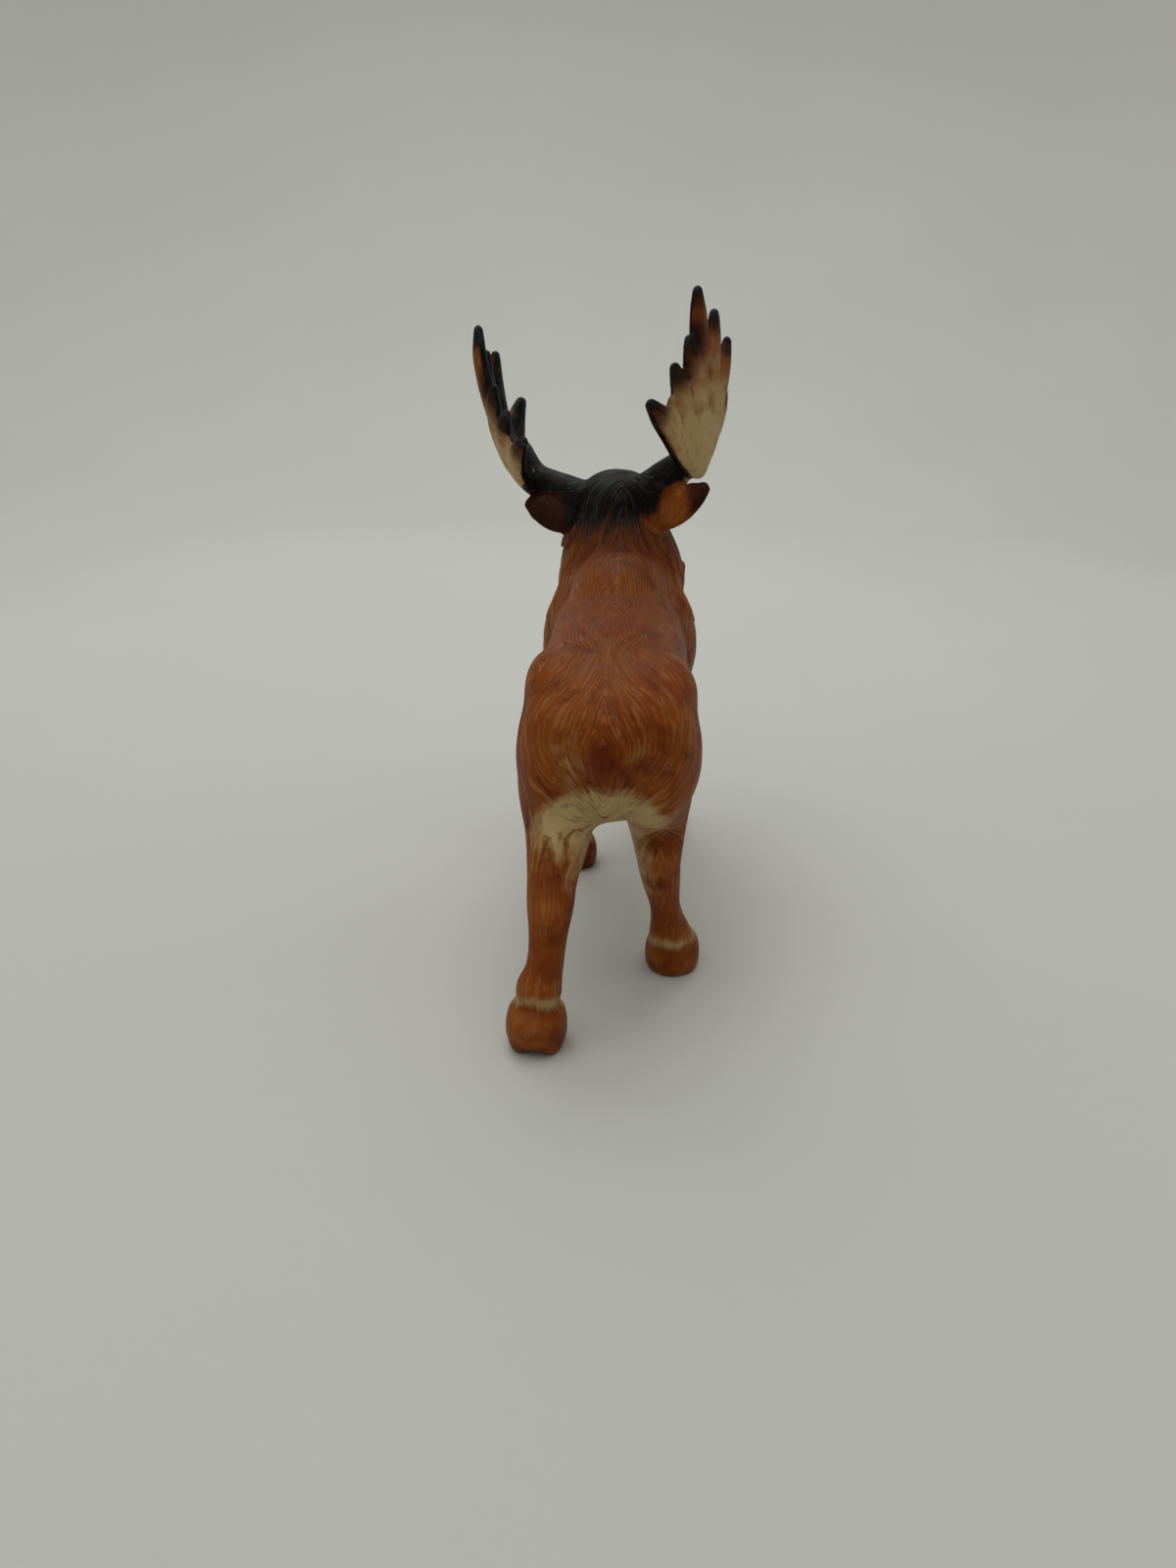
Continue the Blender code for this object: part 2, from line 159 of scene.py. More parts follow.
paper_finish, tree, shader = new_finish("pale_paper")
place = add_node(tree, "ShaderNodeNewGeometry")
cloudy = add_node(tree, "ShaderNodeTexNoise", {"Vector": place, "Scale": 6.0, "Detail": 3.0})
tones = add_node(tree, "ShaderNodeValToRGB", {"Fac": cloudy})
tones.node.color_ramp.elements[0].color = PAPER_DARK
tones.node.color_ramp.elements[1].color = PAPER_LIGHT
tree.links.new(tones, shader.inputs["Base Color"])
shader.inputs["Roughness"].default_value = 0.9
shader.inputs["Specular IOR Level"].default_value = 0.2
paper.data.materials.append(paper_finish)
print("the paper has", len(tree.nodes), "nodes")

# %% [markdown]
# ## Soft light
#
# The daylight is so soft that the only shadows lie close around the hooves. A sun lamp would give a hard
# edge to them. A square lamp as wide as the floor gives none. The second lamp lifts the paper in front of
# the toy, and an even white sky above the dish fills the rest.

# %% The soft light
LAMPS = {  # where each is and what it points at, in metres, its side and its watts
    "overhead_lamp": ((0.16, 0.3, 1.0), (0, 0, 0.04), 1.1, 4.1),
    "far_lamp": ((0.05, -0.38, 0.56), (0, -0.34, 0), 0.5, 1.35),
}
SURROUND = 0.42

for name, (spot, aim, side, power) in LAMPS.items():
    lamp = bpy.data.objects.new(name, bpy.data.lights.new(name, "AREA"))
    lamp.data.shape = "SQUARE"
    lamp.data.size = side
    lamp.data.energy = power
    lamp.location = spot
    lamp.rotation_euler = (Vector(spot) - Vector(aim)).to_track_quat("Z", "Y").to_euler()
    bpy.context.scene.collection.objects.link(lamp)
world = bpy.data.worlds.new("soft_surround")
world.use_nodes = True
world.node_tree.nodes["Background"].inputs["Color"].default_value = (1, 1, 0.99, 1)
world.node_tree.nodes["Background"].inputs["Strength"].default_value = SURROUND
bpy.context.scene.world = world
bpy.context.scene.view_settings.view_transform = "Standard"
print("lamps:", len(LAMPS))

# %% [markdown]
# ## The grid and the sizes
#
# An animal is a free form, so its pose is drawn on a grid of 105 squares to its height, which are
# millimetres here. The sizes that a maker would measure on the toy are named in squares. They are the
# solid's own sizes.

# %% Sizes in squares
SQUARES_TALL = 105
square = round(solid_high.z - solid_low.z, 3) / SQUARES_TALL
BODY_HALF = 13.5
LEG_HALF = 2.7
HOOF_HALF = 4.4
ANTLER_HALF = 23
HEAD_TURN = math.radians(13.5)
HEAD_TILT = math.radians(9)
HEAD_DROOP = math.radians(33)
POLL = Vector((1.2, -35.0, 73.4))
SOLE_LEVEL = 0.6
print("a square is", round(1000 * square, 3), "mm")

# %% [markdown]
# ## Lofts and blobs
#
# Bones and muscles are easy to think of as tubes that swell and thin: a loft. A loft is drawn over a few
# egg-shaped sections, joined by a curve that passes through each of them, and closed by a dome at either
# end. Where a form is a plain swelling, an ellipsoid is enough. Sculpted by hand, no form could be changed
# by a number.


# %% Lofts
DOME_REACH = 0.8


def smooth_row(rows, place):
    """The row at a place along the list, read from a curve that passes through every row."""
    last = len(rows) - 1
    start = min(int(place), last - 1)
    t = place - start
    before, a, b, after = (rows[min(max(start + k, 0), last)] for k in (-1, 0, 1, 2))
    return [
        0.5 * (2 * q + (r - p) * t + (2 * p - 5 * q + 4 * r - s) * t**2 + (3 * (q - r) + s - p) * t**3)
        for p, q, r, s in zip(before, a, b, after)
    ]


def rounded_end(inner, outer):
    """Rows that close a form with a dome beyond its outer row."""
    way = (Vector(outer[:3]) - Vector(inner[:3])).normalized()
    reach = DOME_REACH * min(outer[3], outer[4] + outer[5])
    rows = []
    for degrees in (20, 40, 60, 80):
        centre = Vector(outer[:3]) + way * reach * math.sin(math.radians(degrees))
        rows.append([*centre, *(size * math.cos(math.radians(degrees)) for size in outer[3:])])
    return rows


def loft(skin, stations, across=(1, 0, 0), placed=Matrix(), steps=6, sides=32):
    """A closed form over egg-shaped sections: x, y, z, half the width, and the depth to either side of it."""
    rows = [smooth_row(stations, k / steps) for k in range((len(stations) - 1) * steps + 1)]
    rows = rounded_end(rows[1], rows[0])[::-1] + rows + rounded_end(rows[-2], rows[-1])
    centres = [Vector(row[:3]) for row in rows]
    rings = []
    for k, (centre, row) in enumerate(zip(centres, rows)):
        along = (centres[min(k + 1, len(rows) - 1)] - centres[max(k - 1, 0)]).normalized()
        width_way = (Vector(across) - Vector(across).dot(along) * along).normalized()
        depth_way = along.cross(width_way)
        ring = []
        for j in range(sides):
            angle = math.tau * j / sides
            depth = row[4] if math.sin(angle) > 0 else row[5]
            point = centre + width_way * row[3] * math.cos(angle) + depth_way * depth * math.sin(angle)
            ring.append(skin.verts.new(placed @ point))
        rings.append(ring)
    faces = [skin.faces.new(rings[0]), skin.faces.new(rings[-1])]
    for one, other in zip(rings, rings[1:]):
        for j in range(sides):
            faces.append(skin.faces.new((one[j - 1], one[j], other[j], other[j - 1])))
    bmesh.ops.recalc_face_normals(skin, faces=faces)


def blob(skin, centre, radii, placed=Matrix()):
    """An ellipsoid."""
    shape = placed @ Matrix.Translation(centre) @ Matrix.Diagonal((*radii, 1))
    bmesh.ops.create_uvsphere(skin, u_segments=32, v_segments=20, radius=1, matrix=shape)


muscles = bmesh.new()
features = bmesh.new()
print("two piles of forms: muscles that melt together, and features that stay crisp")

# %% [markdown]
# ## Trunk and neck
#
# The barrel runs from the chest to the rump, deep behind the forelegs and tucked up before the hind legs.
# The hump, shoulders, haunches and hips are swellings on it. The left hip is carried higher in the stride,
# as the picture shows. The neck rises steeply to a high-carried head.

# %% Trunk and neck
HIPS = ((1, 0.3, 1.2), (-1, -0.3, 0))  # side, how far in, and how much higher in the stride

barrel = [
    (0, -36.5, 46, 0.4, 8, 8.5),
    (0, -32.5, 46.5, 0.72, 11, 13),
    (0, -26, 46.5, 0.88, 13.5, 14.6),
    (0, -17, 46, 0.88, 13.8, 14.4),
    (0, -6, 45.5, 0.9, 12.2, 13),
    (0, 6, 45, 0.92, 10.8, 10.8),
    (0, 17, 45, 0.92, 10, 8.6),
    (-0.3, 25, 45, 0.88, 9.4, 8.4),
    (-0.4, 30, 44.2, 0.68, 8.4, 8.4),
]
loft(muscles, [(x, y, z, w * BODY_HALF, down, up) for x, y, z, w, up, down in barrel], sides=48)
blob(muscles, (0, -21, 56), (8.5, 14, 7.2))
for side in (1, -1):
    blob(muscles, (side * 0.62 * BODY_HALF, -24, 45.5), (0.42 * BODY_HALF, 9, 11.3))
for side, inset, lift in HIPS:
    middle = side * (BODY_HALF / 2 - inset)
    blob(muscles, (middle, 25, 41), (0.51 * BODY_HALF, 10.5, 11.5))
    blob(muscles, (middle, 20, 48 + lift), (0.46 * BODY_HALF, 10, 6.6))
for out, behind in ((0.51, 28), (-0.53, 21)):
    blob(muscles, (out * BODY_HALF, behind, 33), (0.37 * BODY_HALF, 6, 7))
blob(muscles, (-0.4, 27.5, 42), (0.66 * BODY_HALF, 8, 10))
blob(muscles, (-0.4, 26, 38.5), (0.42 * BODY_HALF, 8, 7.8))
neck = [
    (0, -25, 45, 9.8, 11, 12),
    (0, -28, 52, 10.9, 10.5, 11.5),
    (0.2, -30.5, 58, 11.2, 9.6, 9.8),
    (0.9, -33, 64, 9.9, 7.8, 7.8),
    (1.1, -35.5, 69.5, 8, 6.4, 6.4),
]
loft(muscles, neck, sides=40)
print("trunk and neck:", len(muscles.faces), "faces")

# %% [markdown]
# ## Head
#
# The head has its own grid: right, forward and up from the poll, the top of the head between the antlers.
# It is turned and tilted as a whole, so every form of the face is written as if the animal looked straight
# ahead. The skull belongs to the muscles. The long overhanging muzzle, brows, eyes, nostrils and cheeks are
# features.


# %% Head
def face_point(place, height, side=0):
    """A point of the face: along it from the poll, square to it, and to the right."""
    down = math.sin(HEAD_DROOP)
    level = math.cos(HEAD_DROOP)
    return Vector((side, place * level + height * down, height * level - place * down))


def add_face_loft(skin, outline):
    """A loft over rows of place, half width, top and underside."""
    stations = []
    for place, half, top, under in outline:
        depth = (top - under) / 2
        stations.append((*face_point(place, (top + under) / 2), half, depth, depth))
    loft(skin, stations, placed=head_place, sides=40)


def on_both_sides(place, height, side):
    """The same point on either side of the face."""
    return [face_point(place, height, way * side) for way in (1, -1)]


turned = Matrix.Rotation(-HEAD_TURN, 4, "Z") @ Matrix.Rotation(HEAD_TILT, 4, "Y")
head_place = Matrix.Translation(POLL) @ turned @ Matrix.Diagonal((-1, -1, 1, 1))
skull = [
    (-1.5, 5.6, 0, -9),
    (1.5, 6.6, 1.2, -11.5),
    (5, 6.4, 1.0, -12.6),
    (9.5, 5.2, 0.2, -12.4),
    (15.5, 4.4, -0.7, -11),
]
muzzle = [
    (6, 5.4, 0.2, -12),
    (10, 4.9, -0.1, -12.2),
    (15.5, 4.2, -0.8, -11),
    (21, 4.2, -0.7, -10.8),
    (25.5, 5.0, -0.6, -12.2),
    (29.2, 5.3, -1.8, -13.2),
    (31.6, 4.5, -4.2, -13),
]
EYE_RADIUS = 1.4
EYES = on_both_sides(7.2, -3.9, 5.4)
NOSTRILS = on_both_sides(30.4, -5.4, 4.9)
add_face_loft(muscles, skull)
add_face_loft(features, muzzle)
swellings = [  # brows, eyes, sides of the nose and cheeks
    (on_both_sides(6.4, -2.6, 4.1), (1.5, 4.2, 1.8)),
    (EYES, (EYE_RADIUS, 1.4, EYE_RADIUS)),
    (on_both_sides(29.4, -5.2, 3.7), (1.9, 2.8, 2.4)),
    (on_both_sides(6, -8.4, 3.7), (2.5, 5, 4)),
]
for spots, radii in swellings:
    for spot in spots:
        blob(features, spot, radii, head_place)
blob(features, face_point(27, -12), (3, 2.6, 2.2), head_place)
bell = [
    (0, 5.5, -13, 2.6, 3.4, 3.4),
    (0, 7.4, -19, 2.3, 3.2, 3.2),
    (0, 8.4, -24.5, 1.8, 2.5, 2.5),
    (0, 8.8, -28.5, 1.2, 1.6, 1.6),
]
loft(features, bell, placed=head_place, sides=24)
print("the head's grid starts", [round(number, 1) for number in POLL], "squares from the body's")

# %% [markdown]
# ## Ears
#
# The ears are leaves under the antlers: narrow at the root, wide in the middle, and flattened. A flat loft
# gives that form. The right one reaches further and hangs lower. Their hollows are carved later.

# %% Ears
EARS = ((1, 1.12, 1.6), (-1, 1, 0.2))  # side, reach and droop of each
ear_leaf = [
    (4.6, -2.6, -5.6, 2.0, 1.5),
    (7.6, -4.0, -5.0, 3.2, 1.5),
    (11, -5.0, -3.7, 3.5, 1.3),
    (14, -5.4, -2.2, 2.5, 1.0),
    (15.4, -5.4, -1.4, 1.4, 0.8),
]
ear_rows = []
for side, reach, droop in EARS:
    rows = [(side * reach * x, y, z - droop, w, d, d) for x, y, z, w, d in ear_leaf]
    loft(features, rows, across=(0, 0.35, 1), placed=head_place, sides=24)
    ear_rows += rows
print("ears:", len(EARS))

# %% [markdown]
# ## Antlers
#
# A bull's antlers are thick beams that open into cupped palms, edged with tines like the fingers of a hand.
# Each palm here is a fan of rays from one root: long rays are the tines, and shorter ones between them fill
# the palm. The two palms are not quite a pair. A row gives a tine's tip, from the rear one to the front
# one: its reach to the side, its place forward, and its height on the right and on the left palm.

# %% Antlers
TINES = [
    (0.50, -13.7, 12.6, 9.6),
    (0.675, -9.6, 18, 14.8),
    (0.785, -7.0, 22, 19.6),
    (0.87, -5.0, 29.7, 30),
    (0.93, 0.5, 26, 26),
    (0.955, 6.6, 21.3, 26),
    (0.85, 10.3, 12.8, 17),
]
PALM_ROOT = Vector((15.8, -1, 1.8))
PALM_BULGE = {1: 0.4, -1: 2.7}
WEBS = (0.8, 0.64, 0.64, 0.64, 0.64, 0.64)
WEB_THINNING = 0.72
ROOT_SPREAD = 0.6
TINE_FORM = ((0, 2.2, 1.7), (0.3, 2.7, 1.5), (0.55, 2.5, 1.5), (0.8, 2.1, 1.35), (0.98, 1.15, 0.85))
beam = [
    (2, -1.5, -3.5, 3.8, 3.2, 5.2),
    (6, -1.6, -2.1, 3.6, 3.1, 5),
    (9.5, -1.6, -0.4, 3.3, 3, 4.2),
    (12.6, -1.3, 1.4, 3.2, 2.6, 3),
    (15.4, -1, 3.8, 3.8, 2, 2),
    (17.2, -0.8, 8, 4.4, 1.5, 1.5),
]


def add_ray(root, tip, reach, thinning, fan, swell, placed):
    """A finger of the palm as far as a share of the way to its tip, bowed outwards."""
    stations = []
    for share, half, thick in TINE_FORM:
        way = share * reach
        middle = root.lerp(tip, way) + Vector((swell * 4 * way * (1 - way), 0, 0))
        stations.append((*middle, half, thick * thinning, thick * thinning))
    loft(features, stations, across=fan, placed=placed, sides=24)


tine_tips = []
for side, column in ((1, 2), (-1, 3)):
    mirrored = head_place @ Matrix.Diagonal((side, 1, 1, 1))
    tips = [Vector((row[0] * ANTLER_HALF, row[1], row[column])) for row in TINES]
    last = len(tips) - 1
    loft(features, beam, across=(0, 1, 0), placed=mirrored, sides=28)
    for k, tip in enumerate(tips):
        fan = tips[min(k + 1, last)] - tips[max(k - 1, 0)]
        root = PALM_ROOT + fan.normalized() * (k - last / 2) * ROOT_SPREAD
        add_ray(root, tip, 1, 1, fan, PALM_BULGE[side], mirrored)
    for one, other, reach in zip(tips, tips[1:], WEBS):
        middle = one.lerp(other, 0.5)
        add_ray(PALM_ROOT, middle, reach, WEB_THINNING, other - one, PALM_BULGE[side], mirrored)
    tine_tips += [Vector((side * tip.x, tip.y, tip.z)) for tip in tips]
print("antlers:", len(tine_tips), "tines")

# %% [markdown]
# ## Legs
#
# The four legs are in full stride, with a knob at each knee, hock and pastern. A leg is one loft from the
# body down, and its knobs are wider sections. It is in both piles: the muscles' copy melts into the body,
# and the features' copy keeps the shank slim.

# %% Legs
LEGS = {
    "hind_left": [
        (6.4, 22, 43, 2.4, 3.4, 3.3),
        (7.0, 25, 36, 2.25, 2.7, 2.3),
        (6.8, 29.5, 30, 1.8, 1.75, 1.75),
        (7.3, 34, 25, 1.38, 1.3, 1.3),
        (7.4, 36.8, 21.5, 1.25, 1.2, 1.3),
        (7.7, 38, 17, 1.02, 1, 1),
        (8.1, 38.8, 13, 1.0, 1, 1),
        (8.8, 39.6, 10.2, 1.22, 1.2, 1.25),
        (9.2, 39.8, 8.2, 1.14, 1.1, 1.1),
    ],
    "hind_right": [
        (-6.4, 21, 43, 2.3, 3.6, 3.4),
        (-7.1, 19, 35, 2.3, 2.6, 2.6),
        (-7.6, 19.5, 28, 1.72, 1.7, 1.7),
        (-7.9, 21, 23, 1.3, 1.25, 1.35),
        (-8.2, 20.5, 19.5, 1.15, 1.1, 1.15),
        (-8.9, 18.5, 14.5, 0.9, 0.95, 0.95),
        (-9.4, 17.3, 10.8, 0.98, 1, 1),
        (-9.9, 16.4, 7.8, 1.24, 1.2, 1.25),
        (-10.2, 15.8, 5.6, 1.35, 1.25, 1.3),
    ],
    "front_left": [
        (7.2, -23, 42, 2.0, 3.2, 3.2),
        (7.6, -21.5, 34, 1.7, 2.2, 2.2),
        (7.8, -22.5, 27, 1.35, 1.6, 1.5),
        (8.0, -24.2, 20.5, 1.28, 1.35, 1.25),
        (8.2, -24.6, 15.5, 0.95, 1, 1),
        (8.4, -24.9, 11, 0.98, 1, 1),
        (8.5, -25.2, 7.8, 1.2, 1.2, 1.2),
        (8.6, -25.5, 5.2, 1.25, 1.2, 1.2),
    ],
    "front_right": [
        (-7.2, -26, 42, 2.0, 3.2, 3.2),
        (-7.6, -28.5, 34.5, 1.7, 2.2, 2.2),
        (-7.8, -33, 28, 1.35, 1.55, 1.55),
        (-7.9, -37.5, 22, 1.28, 1.3, 1.3),
        (-8, -40, 17, 0.95, 1, 1),
        (-8, -42.5, 12, 0.98, 1, 1),
        (-8, -44.4, 8.4, 1.2, 1.2, 1.2),
        (-8, -45.6, 5.4, 1.25, 1.2, 1.2),
    ],
}
for stations in LEGS.values():
    scaled = [(x, y, z, w * LEG_HALF, a * LEG_HALF, b * LEG_HALF) for x, y, z, w, a, b in stations]
    for pile in (muscles, features):
        loft(pile, scaled, sides=32)
print("legs:", len(LEGS))

# %% [markdown]
# ## Hooves and tail
#
# A hoof is two rounded claws and a heel. All four have one form, so one set of sections, in shares of the
# hoof's half width, is enough. The left hind hoof is about to be lifted, so it is pitched about its toe.
# The tail is a short flap that lies close to the rump.

# %% Hooves and tail
HOOVES = {  # where each stands, and the degrees that its heel is up and that it is turned
    "hind_left": ((9.4, 40.9, 0), 20, -4),
    "hind_right": ((-10.4, 14.4, 0), 0, -8),
    "front_left": ((8.6, -26.2, 0), 0, 4),
    "front_right": ((-8, -46.6, 0), -3, -4),
}
claw = [
    (0.24, 0.10, 1.5, 0.44, 0.6, 0.65),
    (0.34, 0.05, 1.2, 0.58, 0.9, 0.85),
    (0.41, 0.0, 0.8, 0.60, 1.02, 0.95),
    (0.43, -0.06, 0.42, 0.56, 1.14, 0.9),
    (0.42, -0.06, 0.1, 0.46, 1.06, 0.76),
]
hoof_places = {}
for name, (stand, heel_up, turn) in HOOVES.items():
    toe = Matrix.Translation((0, -0.8 * HOOF_HALF, 0.1 * HOOF_HALF))
    pitched = toe @ Matrix.Rotation(math.radians(heel_up), 4, "X") @ toe.inverted()
    placed = Matrix.Translation(stand) @ Matrix.Rotation(math.radians(turn), 4, "Z") @ pitched
    for side in (1, -1):
        rows = [[HOOF_HALF * number for number in (side * x, *rest)] for x, *rest in claw]
        loft(features, rows, placed=placed, sides=28)
    heel = [HOOF_HALF * share for share in (0, 0.36, 0.7)]
    blob(features, heel, [HOOF_HALF * share for share in (0.9, 0.82, 0.78)], placed)
    hoof_places[name] = placed
tail = [
    (-0.3, 31.5, 50, 2.2, 1.6, 1.6),
    (-0.6, 35.4, 46.4, 3.1, 1.6, 1.6),
    (-0.8, 36.5, 43, 3.1, 1.4, 1.4),
    (-0.9, 36.3, 39.6, 2.0, 1, 1),
]
loft(features, tail, sides=24)
print("hooves:", len(hoof_places), "and a tail")

# %% [markdown]
# ## One skin
#
# Overlapping forms become one surface with a voxel remesh, and smoothing melts their creases. Doing that
# once would either leave creases between muscles or wash out eyes and tines, so it is done twice: heavily
# over the muscles, then lightly and finely over everything.


# %% One skin
MUSCLE_VOXEL = 0.8
MUSCLE_ROUNDS = 30
SKIN_VOXEL = 0.27
SKIN_SOFTNESS = 1.4


def as_modified(thing):
    """The object's mesh as its modifiers leave it, in place of its own."""
    shape = bpy.data.meshes.new_from_object(thing.evaluated_get(bpy.context.evaluated_depsgraph_get()))
    thing.modifiers.clear()
    thing.data = shape


def draw_skin(thing, forms, voxel, rounds):
    """One skin over the object's mesh and more forms, then softened."""
    forms.from_mesh(thing.data)
    forms.to_mesh(thing.data)
    forms.free()
    remesh = thing.modifiers.new("One skin", "REMESH")
    remesh.mode = "VOXEL"
    remesh.voxel_size = voxel
    soften = thing.modifiers.new("Soften", "SMOOTH")
    soften.factor = 0.5
    soften.iterations = rounds
    as_modified(thing)
    print("skin of", len(thing.data.vertices), "points")


moose = bpy.data.objects.new("moose", bpy.data.meshes.new("moose"))
bpy.context.scene.collection.objects.link(moose)
draw_skin(moose, muscles, MUSCLE_VOXEL, MUSCLE_ROUNDS)
draw_skin(moose, features, SKIN_VOXEL, round(SKIN_SOFTNESS / SKIN_VOXEL**2))

# %% [markdown]
# ## Working on every point at once
#
# From here on a rule is applied to some hundred thousand points. A Python loop over them would be slow, so
# the points are read into arrays, and each rule is written once for all of them.


# %% Points as arrays
def read_points(mesh):
    """The mesh's points and their outward directions."""
    count = len(mesh.vertices)
    places = np.empty(3 * count)
    outward = np.empty(3 * count)
    mesh.vertices.foreach_get("co", places)
    mesh.vertex_normals.foreach_get("vector", outward)
    return places.reshape(-1, 3), outward.reshape(-1, 3)


def write_points(mesh, places):
    """Move the mesh's points to these places."""
    mesh.vertices.foreach_set("co", places.ravel())
    mesh.update()


def edge_ends(mesh):
    """The numbers of the points at either end of every edge."""
    ends = np.empty(2 * len(mesh.edges), np.int64)
    mesh.edges.foreach_get("vertices", ends)
    return ends.reshape(-1, 2).T


def fade(values, start, end):
    """0 before the start, 1 past the end, and smooth between."""
    way = np.clip((values - start) / (end - start), 0, 1)
    return way * way * (3 - 2 * way)


def in_grid(places, placed):
    """The points as they lie in a grid of its own, such as the head's or a hoof's."""
    back = np.array(placed.inverted())
    return places @ back[:3, :3].T + back[:3, 3]


def on_one_side(head):
    """Points in the head's grid, those on its left carried over to the right."""
    return np.abs(head[:, :1]) * [1, 0, 0] + head * [0, 1, 1]


def distance(places, spots):
    """How far every point is from the nearest of some spots."""
    return np.min([np.linalg.norm(places - np.array(spot), axis=1) for spot in spots], axis=0)


def nearness(places, rows):
    """The distance to the nearest of some rows of a loft, as a share of that row's half width."""
    return np.min([np.linalg.norm(places - row[:3], axis=1) / row[3] for row in rows], axis=0)


head_turn = np.array(head_place)[:3, :3]
places, outward = read_points(moose.data)
print("lowest point", places.min(0).round(2), "highest", places.max(0).round(2))

# %% [markdown]
# ## Which part of the animal a point is on
#
# Hair, carving and paint all ask the same questions: is this point on an antler, an ear, a hoof? The
# answers are worked out once here, from the same rows that the forms were drawn with.


# %% Parts of the animal
RING_LEVEL = 1.56
RING_WIDTH = 0.22


def parts_of(places):
    """The point in the head's grid, and shares from 0 to 1 for antler, ear, hoof, its ring and face."""
    head = in_grid(places, head_place)
    mirrored = on_one_side(head)
    out, forward, up = mirrored.T
    to_ear = nearness(head, [(x, y, z, w + 0.5) for x, y, z, w, *_ in ear_rows])
    to_beam = nearness(mirrored, [(x, y, z, w + 0.2) for x, y, z, w, *_ in beam])
    high = fade(up, 3.5, 5.5)
    wide = fade(out, 9.5, 11.5) * fade(up, -6, -4)
    near_beam = np.maximum(fade(to_beam, 1.15, 0.95), wide) * (to_beam < to_ear)
    antler = np.maximum(high * fade(out, 7, 9), near_beam) * fade(out, 5.5, 8)
    ear = fade(to_ear, 1.15, 0.95) * (1 - antler) * fade(out, 5.5, 7.5)
    hoof = np.zeros(len(places))
    ring = np.zeros(len(places))
    for placed in hoof_places.values():
        local = in_grid(places, placed) / HOOF_HALF
        here = fade(np.linalg.norm(local - [0, 0, 0.8], axis=1), 1.9, 1.6)
        hoof = np.maximum(hoof, here * fade(local[:, 2], 1.55, 1.4))
        ring = np.maximum(ring, here * np.exp(-(((local[:, 2] - RING_LEVEL) / RING_WIDTH) ** 2)))
    face = fade(forward, 2, 6) * (1 - antler)
    return {"head": head, "antler": antler, "ear": ear, "hoof": hoof, "ring": ring, "face": face}


parts = parts_of(places)
print({name: round(float(share.mean()), 3) for name, share in parts.items() if name != "head"})

# %% [markdown]
# ## Combing the coat
#
# Carved hair lies in flowing lines: back and out from the spine, in arcs round the tail and down the
# thighs, down the neck and legs, out along the antlers. Strokes drawn one by one could never keep that
# flow. Instead the lay of the hair is given at a few dozen places and blended between them. The arcs on the
# rump and the rays of the antlers are worked out.

# %% The lay of the hair
GUIDES = [  # a place on the left side or the middle, and the way that its hair points
    ((0, -15, 61), (0.35, 0.9, -0.3)),
    ((0, 0, 57), (0.45, 0.9, 0)),
    ((0, 12, 55), (0.6, 0.8, 0)),
    ((6, 0, 55), (0.6, 0.75, -0.4)),
    ((12, 8, 50), (0.1, 0.9, -0.45)),
    ((12.5, 6, 42), (0, 0.9, -0.4)),
    ((11, 5, 36), (-0.2, 0.9, -0.3)),
    ((0, 5, 34), (0, 1, 0)),
    ((0, -15, 32), (0, 1, 0)),
    ((13, 24, 42), (0, 0.25, -1)),
    ((13, 20, 50), (0.1, 0.6, -0.7)),
    ((12, 20, 34), (0, 0.3, -1)),
    ((12, -22, 52), (0.1, 0.5, -0.8)),
    ((13, -24, 44), (0, 0.45, -0.9)),
    ((12, -24, 36), (0, 0.1, -1)),
    ((12.5, -8, 48), (0.05, 0.85, -0.5)),
    ((12.5, -8, 40), (0, 0.8, -0.55)),
    ((0, -24, 63), (0.45, 0.5, -0.7)),
    ((6, -24, 60), (0.5, 0.4, -0.75)),
    ((0, -27, 68), (0.5, 0.2, -0.8)),
    ((10, -32, 60), (0.1, 0.25, -0.95)),
    ((9, -34, 66), (0.1, 0.1, -1)),
    ((0, -41, 58), (0, -0.1, -1)),
    ((0, -42, 50), (0, 0.1, -1)),
    ((0, -40, 40), (0, 0.6, -0.8)),
    ((6, -37, 38), (0, 0.5, -0.85)),
    ((0, -33, 74), (1, 0.1, 0)),
    ((4, -30, 72), (0.7, 0.2, -0.7)),
    ((6, -30, 66), (0.2, 0.1, -1)),
    ((0, -46, 67), (0, -0.85, -0.5)),
    ((4, -56, 58), (0, -0.85, -0.5)),
    ((5, -43, 63), (0.1, -0.4, -0.9)),
]
ARC_CENTRE = (0.5, 44)  # across and up, of the arcs round the tail


def unit(ways):
    """The same ways, each one square long."""
    return ways / np.maximum(np.linalg.norm(ways, axis=1), 1e-9)[:, None]


